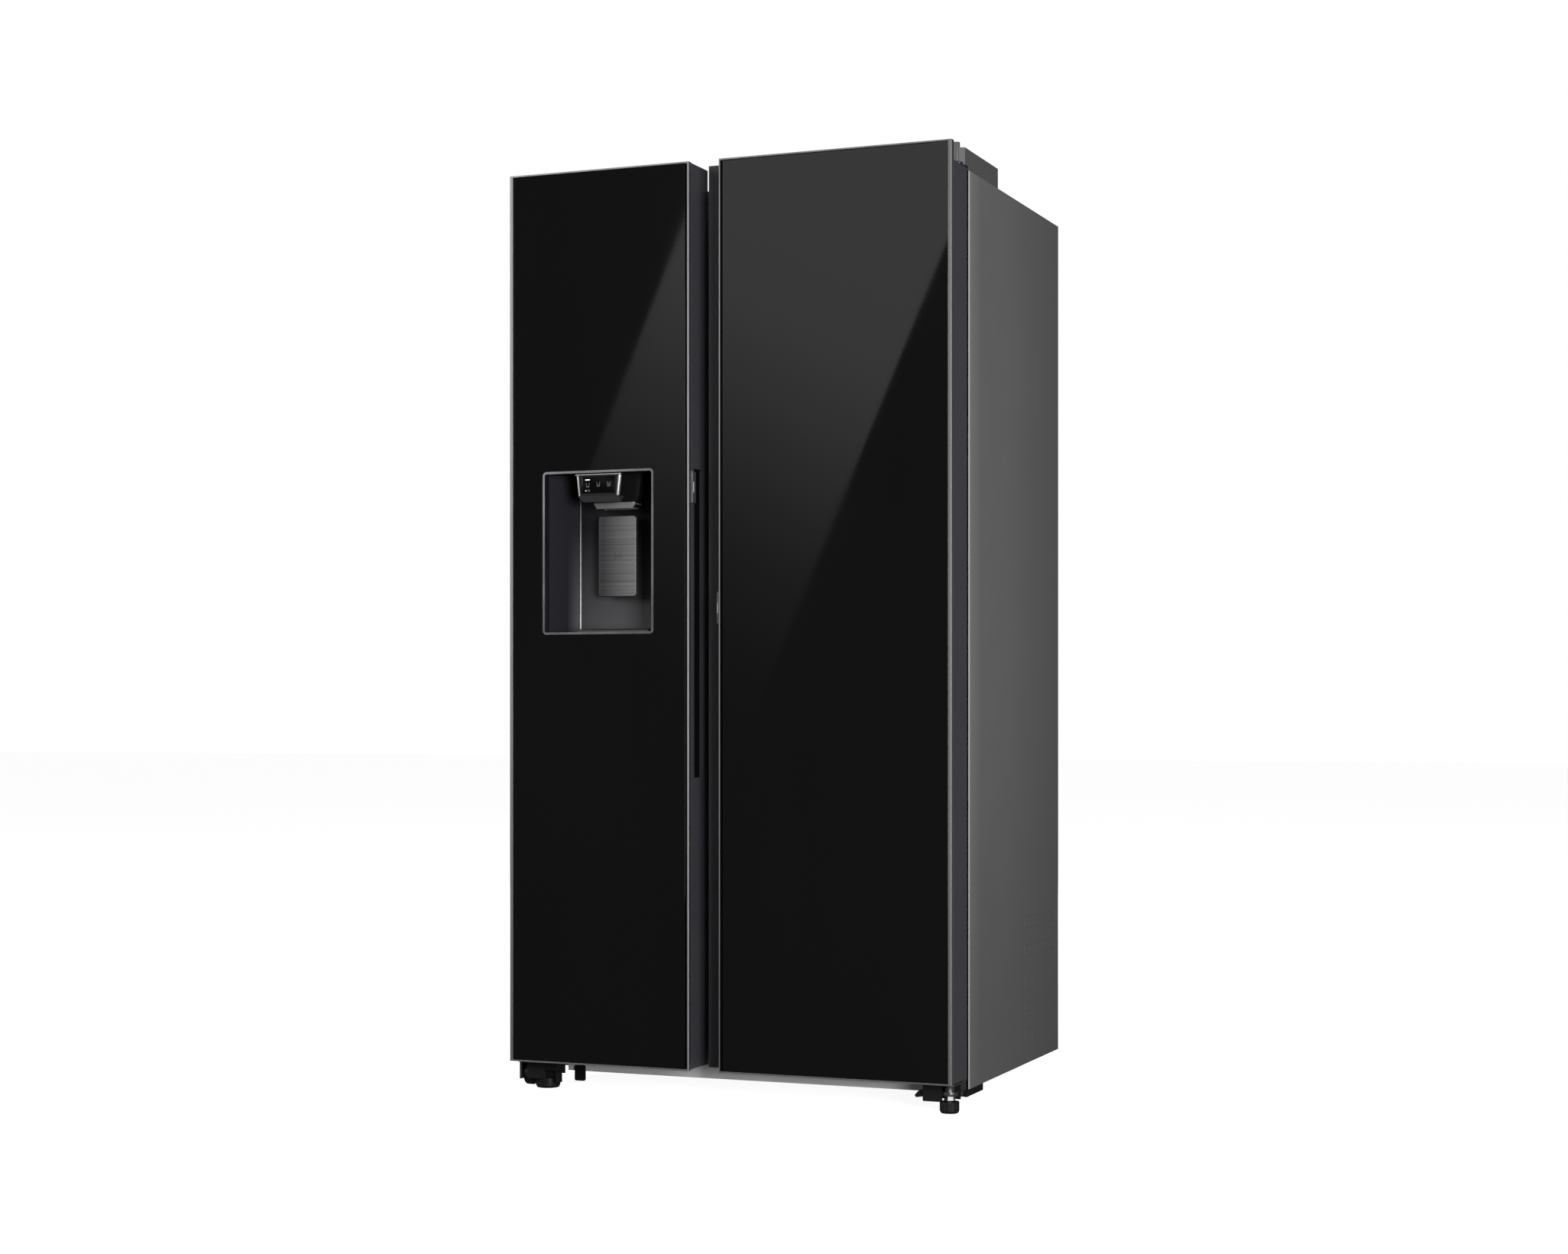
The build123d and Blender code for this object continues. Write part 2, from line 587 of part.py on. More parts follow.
def dispenser_spout():
    """Dark cowl under the ice passage with a lighter lip at its mouth."""
    top = Plane((SPOUT_X, FRONT + 45.5, NICHE[3] - 0.3))
    mid = Plane((SPOUT_X, FRONT + 45.5, 1160))
    low = Plane((SPOUT_X, FRONT + 45.5, 1137))
    cowl = loft([top * Rectangle(118, 36), mid * Rectangle(108, 36)])
    cowl += loft([mid * Rectangle(108, 36), low * RectangleRounded(78, 36, 6)])
    hollow = block(SPOUT_X - 34.5, SPOUT_X + 34.5, FRONT + 29.5, FRONT + 61.5, 1130, NICHE[3] + 5)
    return cowl - hollow


def ice_flap():
    """Lid that shuts the ice passage, hinged on a rod along its rear edge."""
    plate = block(SPOUT_X - 33, SPOUT_X + 33, FRONT + 31, FRONT + 57, 1199, 1202)
    return plate + rod_x(SPOUT_X - 33, SPOUT_X + 33, FRONT + 57, 1200.5, 2.5)


def paddle():
    plate = block(SPOUT_X - 40, SPOUT_X + 40, FRONT + 43, FRONT + 49, 967, 1124)
    plate = fillet(plate.edges().filter_by(Axis.Y), 6)
    plate = fillet(plate.edges().group_by(Axis.Y)[0], 1.5)
    return plate + rod_x(SPOUT_X - 30, SPOUT_X + 30, FRONT + 50.5, 1117, 3)


def grip_cut(face, side, y0, y1, deep, grow=0.0):
    """Finger recess in a door edge at x = face, going towards side."""
    low, high = GRIP_LOW - grow, GRIP_HIGH + grow
    cut = block(face - side, face + side * (deep + grow), y0 - grow, y1 + grow, low, high)
    inner = cut.edges().filter_by(Axis.Z).sort_by(Axis.X)
    inner = inner[:2] if side < 0 else inner[-2:]
    return fillet(inner, 9 + grow)


def hinge_bores(sign, grow=0.0):
    radius = PIN_R + PIN_PLAY + grow
    bore = rod(sign * HINGE_X, HINGE_Y, SHELL_LOW - 1, 78, radius)
    return bore + rod(sign * HINGE_X, HINGE_Y, 1734, NOTCH_TOP + 9, radius)


def left_door_body(inset):
    """Outline of the freezer door behind its glass, shrunk all round by inset."""
    g = inset
    low, high = SHELL_LOW + g, SHELL_HIGH - g
    body = block(-HALF + g, LEFT_EDGE - g, SHELL_FRONT + g, DOOR_BACK - g, low, high)
    body -= block(-HALF - 1, -NOTCH_EDGE + g, SHELL_FRONT + 2 - g, DOOR_BACK + 1, NOTCH_TOP - g, high + 5)
    body -= grip_cut(LEFT_EDGE, -1, FRONT + 26, FRONT + 69.5, 28, g)
    wall = NICHE_WALL + 0.3 + g
    body -= niche_solid(SHELL_FRONT - 1, NICHE_BACK + wall, wall)
    return body - chute_cut() - hinge_bores(-1, g)


def right_door_body(inset):
    """Outline of the fridge door behind its glass, with the set-back flange."""
    g = inset
    low, high = SHELL_LOW + g, SHELL_HIGH - g
    body = block(RIGHT_EDGE + g, HALF - g, SHELL_FRONT + g, DOOR_BACK - g, low, high)
    body += block(FLANGE_EDGE + g, RIGHT_EDGE + 5, FLANGE_FRONT + g, DOOR_BACK - g, low, high)
    body -= block(NOTCH_EDGE - g, HALF + 1, SHELL_FRONT + 2 - g, DOOR_BACK + 1, NOTCH_TOP - g, high + 5)
    body -= grip_cut(RIGHT_EDGE, 1, FRONT + 20, FRONT + 46, 24, g)
    return body - hinge_bores(1, g)


def door_top_cap():
    """Low moulding along the top edge of the fridge door."""
    points = ((167, DOOR_HIGH - 3), (170, DOOR_HIGH + 2.6), (262, DOOR_HIGH + 2.6), (266, DOOR_HIGH - 3))
    cap = extrude(Plane.XZ * make_face(Polyline(*points, close=True)), 6)
    return cap.moved(Location((0, SHELL_FRONT + 8, 0)))


def left_door_shell():
    skin = left_door_body(0) - left_door_body(SHEET)
    return skin - block(-390, -114, DOOR_BACK - 9, DOOR_BACK + 1, 138, 1678)


def right_door_shell():
    skin = right_door_body(0) + door_top_cap() - right_door_body(SHEET)
    return skin - block(-10, 390, DOOR_BACK - 9, DOOR_BACK + 1, 138, 1678)


def door_liner(x0, x1, cut=None):
    """Inner door panel: a plate with two upright dykes and cross bars that hold the bins."""
    y0 = DOOR_BACK + 0.2
    plate = block(x0, x1, y0, y0 + 8, LINING_LOW, LINING_HIGH)
    bars = [block(x, x + DYKE_WIDE, y0, DYKE_FRONT, LINING_LOW, LINING_HIGH) for x in (x0, x1 - DYKE_WIDE)]
    for z0, z1 in ((LINING_LOW, LINING_LOW + 18), (LINING_HIGH - 22, LINING_HIGH)):
        bars.append(block(x0 + 4, x1 - 4, y0, DYKE_FRONT - 24, z0, z1))
    for bar in bars:
        plate += fillet(bar.edges().group_by(Axis.Y)[-1], 5)
    return plate - cut if cut else plate


def gasket(x0, x1):
    ring = block(x0, x1, DOOR_BACK + 0.2, CAB_FRONT - 0.3, 92, 1722)
    ring -= block(x0 + 13, x1 - 13, DOOR_BACK - 1, CAB_FRONT + 1, 105, 1709)
    groove = block(x0 - 1, x0 + 3, DOOR_BACK + 4, DOOR_BACK + 8, 80, 1740)
    return ring - groove


def door_bin(x0, x1, z0, high):
    """Bin that hangs between the dykes of a door."""
    rim = rounded(x0, x1, BIN_FRONT - 8, BIN_FRONT, z0 + high - 12, z0 + high, 3, Axis.X)
    return tray(x0, x1, BIN_BACK, BIN_FRONT, z0, z0 + high, BIN_WALL, 10) + rim


# ---------------------------------------------------------------- ice maker

def ice_bin():
    """Bucket on the freezer door that feeds ice to the passage below its front."""
    body = rounded(ICE_X[0], ICE_X[1], BIN_BACK, BIN_FRONT - 2, ICE_LOW, 1520, 8)
    body -= block(ICE_X[0] + 3, ICE_X[1] - 3, BIN_BACK + 3, BIN_FRONT - 5, ICE_LOW + 3, 1530)
    body -= block(SPOUT_X - 34, SPOUT_X + 34, BIN_BACK - 1, BIN_BACK + 4, ICE_LOW + 3, ICE_LOW + 15)
    return body - rod_x(ICE_X[0] - 1, ICE_X[0] + 9, AUGER_Y, AUGER_Z, 6.4)


def ice_auger():
    """Shaft with paddles that push the ice along the bucket."""
    shaft = rod_x(ICE_X[0] - 3, ICE_X[1] - 6, AUGER_Y, AUGER_Z, 6)
    for i in range(6):
        x = ICE_X[0] + 22 + i * 30
        blade = Pos(x, AUGER_Y, AUGER_Z) * Rot(i * 60, 0, 0) * Pos(0, 0, 16) * Box(4, 16, 30)
        shaft += blade
    return shaft


def ice_maker():
    """Cube tray in its frame above the bucket."""
    frame = rounded(ICE_X[0] + 4, ICE_X[1] - 4, BIN_BACK, BIN_FRONT - 10, 1560, 1630, 8)
    frame -= block(ICE_X[0] + 14, ICE_X[1] - 14, BIN_BACK + 10, BIN_FRONT - 20, 1590, 1640)
    for i in range(6):
        for j in range(3):
            x = ICE_X[0] + 20 + i * 30.5
            y = BIN_BACK + 15 + j * 29
            cell = block(x, x + 25, y, y + 24, 1572, 1592)
            frame -= chamfer(cell.edges().group_by(Axis.Z)[0], 4)
    return frame


# ---------------------------------------------------------------- fans

def fan(blades, radius, hub, width):
    """Axial fan about +Z, to be turned into place."""
    rotor = Cylinder(hub, width)
    rotor = fillet(rotor.edges().sort_by(Axis.Z)[-1], 2)
    for i in range(blades):
        turn = 360 / blades * i
        blade = Pos((hub + radius) / 2 - 1, 0, 0) * Rot(32, 0, 0) * Box(radius - hub + 2, hub * 1.5, 1.8)
        rotor += Rot(0, 0, turn) * blade
    return rotor


# ---------------------------------------------------------------- small parts

def screw(x, y, z, turn):
    head = fillet(Cylinder(4.5, 2.2).edges().sort_by(Axis.Z)[-1], 1)
    head -= Pos(0, 0, 1.0) * Box(6, 1.1, 1.2) + Pos(0, 0, 1.0) * Box(1.1, 6, 1.2)
    return Location((x, y, z)) * turn * Pos(0, 0, 1.15) * head


def screws():
    """Fixing screws on the back and under the front, and the right foot's lock nut."""
    back = Rot(-90, 0, 0)
    group = []
    for z in (345, 700, 1050, 1400, 1738):
        group += [screw(x, BACK - 2.95, z, back) for x in (-440, 440)]
    group += [screw(x, BACK - 2.95, 1738, back) for x in (-150, 150)]
    group += [screw(x, BACK - 2.95, 52, back) for x in (-430, -150, 150, 430)]
    for sign in (-1, 1):
        group += [screw(sign * x, CAB_FRONT - 3.05, 30, Rot(90, 0, 0)) for x in (405, 445)]
    nut = extrude(Pos(*RIGHT_FOOT, 23.5) * Rot(0, 0, 30) * RegularPolygon(10.4, 6), 8.2)
    group.append(nut - stem_bore(RIGHT_FOOT))
    return group


def touch_pad(face, side, low):
    """Touch strip that opens the door, with its light line."""
    pad = block(face + side * 0.1, face + side * 4, FRONT + 10, FRONT + 27, low, low + 61)
    outer = pad.faces().sort_by(Axis.X)[0 if side < 0 else -1]
    pad = fillet(outer.edges(), 2.5)
    x = face + side * 4
    return pad - block(x - 0.6, x + 0.6, FRONT + 14.2, FRONT + 15.8, low + 20, low + 41)


def dairy_lid():
    """Flap over the front of the top bin, hinged along its upper edge."""
    lid = block(4, 371, BIN_FRONT + 0.6, BIN_FRONT + 3.6, 1596, 1660)
    lid = fillet(lid.edges().filter_by(Axis.Y).group_by(Axis.Z)[0], 8)
    lid += rod_x(4, 371, BIN_FRONT - 1, 1658, 3)
    return lid + block(150, 225, BIN_FRONT + 3, BIN_FRONT + 6, 1600, 1606)


def right_door_bins():
    """Five open bins and the top one with ears for the lid's rod."""
    bins = [door_bin(0, 375, z, BIN_HIGH) for z in RIGHT_BINS]
    top = door_bin(0, 375, 1540, 100)
    for x in (0, 372):
        top += rounded(x, x + 3, BIN_FRONT - 16, BIN_FRONT + 3, 1600, 1664, 5, Axis.X)
    return bins + [top]


# ---------------------------------------------------------------- writing

def write_cabinet():
    side = side_panel()
    save("cabinet_side_right", side)
    save("cabinet_side_left", mirrored(side))
    save("cabinet_top", top_panel())
    save("back_panels", [back_panel(), machine_cover()])
    save("cabinet_base", base_pan())
    save("lower_rail", lower_rail())
    save("cabinet_foam", foam_blocks())
    save("freezer_liner", liner(FREEZER, -1, FREEZER_SHELVES, DRAWER_TOP))
    save("fridge_liner", liner(FRIDGE, 1, FRIDGE_SHELVES, DRAWER_TOP))
    save("mullion_cover", mullion_cover())
    save("glass_shelves", glass_shelves())
    save("shelf_trims", shelf_trims())
    save("air_covers", [freezer_air_cover(), fridge_air_cover(), freezer_fan_motor()])
    save("led_lamps", led_lamps())
    save("evaporator", evaporator())
    save("compressor", compressor())
    save("condenser", condenser())
    save("water_valve", water_valve())
    save("power_inlet", power_inlet())
    save("screws", screws())


def write_hinges_and_feet():
    save("hinge_covers", both(hinge_cover()))
    save("door_hinges", door_hinges())
    save("front_foot_right", foot(*RIGHT_FOOT, 18.3, 21.2))
    save("front_foot_left", foot(*LEFT_FOOT, 24, 20))
    save("front_roller_left", roller(22, 17).moved(Location((-441.5, *FRONT_AXLE))))
    save("rear_roller_left", roller(16, 17).moved(Location((-REAR_ROLLER_X, *REAR_AXLE))))
    save("rear_roller_right", roller(16, 17).moved(Location((REAR_ROLLER_X, *REAR_AXLE))))
    front_axle = rod_x(-450.8, -431.7, *FRONT_AXLE, AXLE_R)
    save("floor_brackets", front_brackets() + rear_axles() + [front_axle])


def write_interior():
    for level, z0, z1 in (("lower", 126, 324), ("upper", 338, 532)):
        save(f"freezer_drawer_{level}", drawer(-350, -99, z0, z1))
        save(f"crisper_{level}", drawer(-24, 350, z0, z1))
    save("freezer_fan", Pos(*FREEZER_FAN) * Rot(90, 0, 0) * fan(5, 48, 17, 16))
    save("condenser_fan", Pos(*CONDENSER_FAN) * Rot(0, -90, 0) * fan(5, 70, 20, 18))


def write_left_door():
    opening = niche_frame(FRONT - 5, SHELL_FRONT + 5, NICHE_WALL + 0.3, 6.3)
    pane, frame = front_panel(-HALF, LEFT_EDGE, opening)
    save("left_door_glass", pane)
    save("left_door_trim", frame)
    save("left_door_shell", left_door_shell())
    save("left_door_foam", left_door_body(SHEET + 0.1))
    save("left_door_liner", door_liner(-396, -108, chute_cut()))
    save("left_door_gasket", gasket(-438, -76))
    save("left_door_bins", [door_bin(-380, -124, z, BIN_HIGH) for z in LEFT_BINS])
    save("dispenser_trim", dispenser_trim())
    save("dispenser_niche", dispenser_niche())
    save("dispenser_panel", dispenser_panel())
    save("dispenser_spout", dispenser_spout())
    save("dispenser_paddle", paddle())
    save("ice_flap", ice_flap())
    save("left_touch_pad", touch_pad(LEFT_EDGE, 1, 1142))
    save("ice_bin", ice_bin())
    save("ice_auger", ice_auger())
    save("ice_maker", ice_maker())


def write_right_door():
    pane, frame = front_panel(RIGHT_EDGE, HALF)
    save("right_door_glass", pane)
    save("right_door_trim", frame)
    save("right_door_shell", right_door_shell())
    save("right_door_foam", right_door_body(SHEET + 0.1))
    save("right_door_liner", door_liner(-16, 396))
    save("right_door_gasket", gasket(-47, 438))
    save("right_door_bins", right_door_bins())
    save("right_touch_pad", touch_pad(RIGHT_EDGE, -1, 911))
    save("dairy_lid", dairy_lid())


write_cabinet()
write_hinges_and_feet()
write_interior()
write_left_door()
write_right_door()
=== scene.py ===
import math

import bmesh
import bpy
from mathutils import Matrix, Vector


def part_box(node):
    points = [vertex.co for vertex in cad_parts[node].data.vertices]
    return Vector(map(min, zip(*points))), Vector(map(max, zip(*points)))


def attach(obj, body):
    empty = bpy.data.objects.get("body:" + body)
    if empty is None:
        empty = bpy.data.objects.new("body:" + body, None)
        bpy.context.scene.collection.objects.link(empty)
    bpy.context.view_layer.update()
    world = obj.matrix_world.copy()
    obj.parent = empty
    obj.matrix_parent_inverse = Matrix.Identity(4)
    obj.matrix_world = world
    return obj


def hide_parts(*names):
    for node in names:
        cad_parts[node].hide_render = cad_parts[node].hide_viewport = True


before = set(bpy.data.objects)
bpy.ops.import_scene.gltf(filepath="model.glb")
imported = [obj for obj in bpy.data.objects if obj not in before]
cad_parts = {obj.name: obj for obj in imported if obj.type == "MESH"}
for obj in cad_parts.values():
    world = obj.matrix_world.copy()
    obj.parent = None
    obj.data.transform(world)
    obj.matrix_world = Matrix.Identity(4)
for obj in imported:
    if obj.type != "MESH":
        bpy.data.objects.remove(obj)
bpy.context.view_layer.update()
MM = 0.001

# Doors, read from the frame
TRIM_LOW, TRIM_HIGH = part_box("left_door_trim")
FRONT = TRIM_LOW[1]
LEFT_EDGE = TRIM_HIGH[0]
RIGHT_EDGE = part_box("right_door_trim")[0][0]

# Dispenser, read from the frame
NICHE_LOW, NICHE_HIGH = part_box("dispenser_niche")
PANEL_LOW, PANEL_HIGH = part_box("dispenser_panel")
PADDLE_LOW, PADDLE_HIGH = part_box("dispenser_paddle")
SPOUT_LOW, SPOUT_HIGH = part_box("dispenser_spout")
PANEL_X = (PANEL_LOW[0] + PANEL_HIGH[0]) / 2
SPOUT_X = (SPOUT_LOW[0] + SPOUT_HIGH[0]) / 2
SPOUT_Y = (SPOUT_LOW[1] + SPOUT_HIGH[1]) / 2

# Line where the recess's swept wall meets its flat back, then places on the control housing
RIDGE_X = NICHE_LOW[0] + 48.5 * MM
HOUSING_STEP = PANEL_LOW[2] + 11 * MM
WINDOW_Z = PANEL_LOW[2] + 32.5 * MM
SYMBOL_Y = PANEL_LOW[1] + 0.15 * MM
SYMBOL_THICK = 0.12 * MM

# Painted shade inside the grip recesses: low and high along X, Y and Z
GRIP_HEIGHTS = (0.6150, 1.2100)
LEFT_GRIP_SHADE = ((LEFT_EDGE - 29.1 * MM, LEFT_EDGE - 8.1 * MM), (FRONT + 25.5 * MM, FRONT + 70.5 * MM),
             GRIP_HEIGHTS)
RIGHT_GRIP_SHADE = ((RIGHT_EDGE + 8.5 * MM, RIGHT_EDGE + 25 * MM), (FRONT + 19.5 * MM, FRONT + 46.5 * MM),
              GRIP_HEIGHTS)

# Ice passage through the freezer door's foam, in the same form
CHUTE = ((SPOUT_X - 47 * MM, SPOUT_X + 47 * MM), (FRONT, FRONT + 200 * MM), (1.200, 1.345))

# Painted shade of the gap between the doors: black inner half of the door frames along their free edges, and
# its lower and upper ends
GAP_SHADE_STRIPS = ((LEFT_EDGE - 7.6 * MM, LEFT_EDGE - 3.4 * MM),
                (RIGHT_EDGE + 3.3 * MM, RIGHT_EDGE + 7.5 * MM))
STRIP_LOW = TRIM_LOW[2] + 3.5 * MM
STRIP_HIGH = TRIM_HIGH[2] - 3.5 * MM

# Front edge of the right side panel: a painted shadow line, then a painted highlight on the lip
SIDE_LOW, SIDE_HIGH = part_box("cabinet_side_right")
LIP_INNER = SIDE_HIGH[0] - 6 * MM
PAINTED_SHADOW_END = SIDE_LOW[1] + 2.5 * MM
PAINTED_HIGHLIGHT_END = PAINTED_SHADOW_END + 2.8 * MM


# ---------------------------------------------------------------- node materials

class Nodes:
    """Short way to build a node material in row-frame coordinates."""

    def __init__(self, name):
        self.material = bpy.data.materials.new(name)
        self.material.use_nodes = True
        self.tree = self.material.node_tree
        self.shader = self.tree.nodes["Principled BSDF"]
        self.place = self.tree.nodes.new("ShaderNodeTexCoord").outputs["Object"]

    def plug(self, value, socket):
        """Links an output to a socket, or sets the socket to a plain value."""
        if isinstance(value, bpy.types.NodeSocket):
            self.tree.links.new(value, socket)
        else:
            socket.default_value = value

    def add(self, kind, **inputs):
        """A new node; each input is named with underscores for spaces."""
        node = self.tree.nodes.new(kind)
        for key, value in inputs.items():
            self.plug(value, node.inputs[key.replace("_", " ")])
        return node

    def maths(self, operation, *values):
        node = self.tree.nodes.new("ShaderNodeMath")
        node.operation = operation
        for value, socket in zip(values, node.inputs):
            self.plug(value, socket)
        return node.outputs[0]

    def link(self, output, name):
        self.tree.links.new(output, self.shader.inputs[name])

    def scaled(self, scale):
        return self.add("ShaderNodeMapping", Vector=self.place, Scale=scale).outputs["Vector"]

    def noise(self, scale, detail=3.0, rough=0.55, stretch=(1, 1, 1)):
        vector = self.scaled(stretch)
        node = self.add("ShaderNodeTexNoise", Vector=vector, Scale=scale, Detail=detail, Roughness=rough)
        return node.outputs["Fac"]

    def cells(self, scale):
        return self.add("ShaderNodeTexVoronoi", Vector=self.place, Scale=scale).outputs

    def ramp(self, value, low, high, start=0.3, end=0.7):
        """Runs from low to high while the value runs from start to end."""
        node = self.add("ShaderNodeMapRange", Value=value, To_Min=low, To_Max=high)
        node.inputs["From Min"].default_value = start
        node.inputs["From Max"].default_value = end
        return node.outputs["Result"]

    def blend(self, value, first, second):
        """Colour between two; each is three numbers or an earlier colour output."""
        node = self.tree.nodes.new("ShaderNodeMix")
        node.data_type = "RGBA"
        self.tree.links.new(value, node.inputs["Factor"])
        for socket, colour in ((node.inputs["A"], first), (node.inputs["B"], second)):
            self.plug((*colour, 1) if isinstance(colour, tuple) else colour, socket)
        return node.outputs["Result"]

    def total(self, first, second, weight):
        """The first value plus the second times its weight."""
        return self.maths("MULTIPLY_ADD", second, weight, first)

    def product(self, first, second):
        return self.maths("MULTIPLY", first, second)

    def coordinate(self, axis):
        return self.add("ShaderNodeSeparateXYZ", Vector=self.place).outputs[axis]

    def along(self, axis, start, end):
        """0 to 1 between two places on one axis of the row frame."""
        return self.ramp(self.coordinate(axis), 0.0, 1.0, start, end)

    def above(self, axis, edge):
        """1 past an edge on one axis, 0 before it."""
        return self.maths("GREATER_THAN", self.coordinate(axis), edge)

    def below(self, axis, edge):
        return self.maths("LESS_THAN", self.coordinate(axis), edge)

    def between(self, axis, low, high):
        return self.product(self.above(axis, low), self.below(axis, high))

    def inside(self, box):
        """1 inside a box given as low and high for each axis, 0 outside it."""
        x, y, z = (self.between(axis, low, high) for axis, (low, high) in zip("XYZ", box))
        return self.product(self.product(x, y), z)

    def bump(self, height, strength, distance):
        """Fine relief; distance is its depth in metres."""
        node = self.add("ShaderNodeBump", Height=height, Strength=strength, Distance=distance)
        self.link(node.outputs["Normal"], "Normal")

    def plain(self, metallic=0.0, ior=1.5, coat=0.0, transmission=0.0, sheen=0.0, specular=0.5):
        """Sets the uniform numbers of the shader."""
        inputs = self.shader.inputs
        inputs["Specular IOR Level"].default_value = specular
        inputs["Metallic"].default_value = metallic
        inputs["IOR"].default_value = ior
        inputs["Coat Weight"].default_value = coat
        inputs["Coat Roughness"].default_value = 0.05
        inputs["Transmission Weight"].default_value = transmission
        inputs["Sheen Weight"].default_value = sheen


def times(colour, factor):
    """The colour made lighter or darker, held to 1."""
    return tuple(min(1.0, part * factor) for part in colour)


def grained(name, dark, light, rough, grain, depth, strength=0.35, **plain):
    """Painted or moulded surface: cloudy colour, fine grain in gloss and height."""
    look = Nodes(name)
    cloud = look.noise(6.0, 4.0)
    fine = look.noise(grain, 2.0, 0.5)
    tone = look.ramp(look.total(cloud, fine, 0.25), 0, 1, 0.4, 0.85)
    look.link(look.blend(tone, dark, light), "Base Color")
    look.link(look.ramp(fine, *rough), "Roughness")
    look.bump(fine, strength, depth)
    look.plain(**plain)
    return look.material


def brushed(name, dark, light, rough, stretch, strength=0.2):
    """Metal with fine parallel lines; stretch is large across the lines."""
    look = Nodes(name)
    line = look.noise(60.0, 5.0, 0.7, stretch)
    cloud = look.noise(5.0, 3.0)
    tone = look.ramp(look.total(line, cloud, 0.35), 0, 1, 0.35, 1.0)
    look.link(look.blend(tone, dark, light), "Base Color")
    look.link(look.ramp(line, *rough), "Roughness")
    look.bump(line, strength, 0.05 * MM)
    look.plain(metallic=1.0)
    return look.material


def graded(name, base, shades, rough, grain, depth, strength=0.15, **plain):
    """Moulded surface whose colour drifts along the row frame; shades is (axis, start, end, colour)."""
    look = Nodes(name)
    fine = look.noise(grain, 4.0, 0.6)
    colour = look.blend(look.ramp(fine, 0, 1, 0.35, 0.75), base, times(base, 1.18))
    for axis, start, end, second in shades:
        colour = look.blend(look.along(axis, start, end), colour, second)
    look.link(colour, "Base Color")
    look.link(look.ramp(fine, *rough), "Roughness")
    look.bump(fine, strength, depth)
    look.plain(**plain)
    return look.material


def cabinet_paint():
    """Cabinet paint with painted light: lighter towards the front and darker towards the back and low down,
    with a painted shadow line and a painted highlight on the right front edge.
    """
    look = Nodes("cabinet_paint")
    fine = look.noise(1400.0, 3.0, 0.5)
    cloud = look.ramp(look.total(look.noise(6.0, 4.0), fine, 0.25), 0, 1, 0.4, 0.85)
    colour = look.blend(cloud, (0.148, 0.148, 0.151), (0.160, 0.160, 0.163))
    # Painted light and shade: lighter towards the front, darker towards the back and lower down.
    colour = look.blend(look.along("Y", -0.18, -0.29), colour, (0.250, 0.250, 0.255))
    colour = look.blend(look.along("Y", 0.0, 0.36), colour, (0.125, 0.125, 0.128))
    colour = look.blend(look.product(look.along("Z", 0.75, 0.15), 0.5), colour, (0.095, 0.095, 0.098))
    # Painted highlight: a bright band on the rounded lip of the right front edge.
    lip = look.product(look.below("Y", PAINTED_HIGHLIGHT_END), look.above("X", LIP_INNER))
    colour = look.blend(lip, colour, (0.42, 0.42, 0.42))
    # Painted shadow: a black line where the gap behind the door lies in shade.
    line = look.product(look.below("Y", PAINTED_SHADOW_END), look.above("X", LIP_INNER))
    colour = look.blend(line, colour, (0.002, 0.002, 0.002))
    look.link(colour, "Base Color")
    look.link(look.ramp(fine, 0.40, 0.54), "Roughness")
    look.bump(fine, 0.30, 0.12 * MM)
    look.plain()
    # The painted shadow line has no gloss.
    look.link(look.ramp(line, 0.5, 0.0, 0.0, 1.0), "Specular IOR Level")
    return look.material


def door_paint(name, grip_shade):
    """Dark door paint; painted shade makes the inside of the grip recess black."""
    look = Nodes(name)
    fine = look.noise(1600.0, 3.0, 0.5)
    cloud = look.ramp(look.total(look.noise(6.0, 4.0), fine, 0.25), 0, 1, 0.4, 0.85)
    colour = look.blend(cloud, (0.046, 0.044, 0.053), (0.055, 0.053, 0.062))
    # Painted shade: black inside the grip recess.
    look.link(look.blend(look.inside(grip_shade), colour, (0.0015, 0.0015, 0.0018)), "Base Color")
    look.link(look.ramp(fine, 0.30, 0.44), "Roughness")
    look.bump(fine, 0.22, 0.08 * MM)
    look.plain()
    return look.material


def door_frame():
    """Satin frame round the glass; painted shade of the door gap makes its inner half black along the free
    edges of both doors.
    """
    look = Nodes("door_frame")
    line = look.noise(60.0, 5.0, 0.7, (1, 1, 0.02))
    colour = look.blend(look.ramp(line, 0, 1, 0.35, 1.0), (0.27, 0.27, 0.275), (0.31, 0.31, 0.315))
    height = look.between("Z", STRIP_LOW, STRIP_HIGH)
    # Painted shade of the gap between the doors.
    for low, high in GAP_SHADE_STRIPS:
        gap_shade = look.product(height, look.between("X", low, high))
        colour = look.blend(gap_shade, colour, (0.004, 0.004, 0.004))
    look.link(colour, "Base Color")
    look.link(look.ramp(line, 0.46, 0.56), "Roughness")
    look.plain(metallic=1.0)
    return look.material


def black_glass():
    """Back-painted black glass with faint wipe marks in its gloss."""
    look = Nodes("black_glass")
    wipe = look.noise(3.0, 5.0, 0.6, (1.0, 1.0, 0.35))
    speck = look.noise(900.0, 1.0)
    colour = look.blend(look.ramp(wipe, 0, 1), (0.0023, 0.0023, 0.0024), (0.0030, 0.0030, 0.0031))
    look.link(colour, "Base Color")
    look.link(look.ramp(look.total(wipe, speck, 0.1), 0.018, 0.05, 0.35, 0.8), "Roughness")
    look.plain()
    return look.material


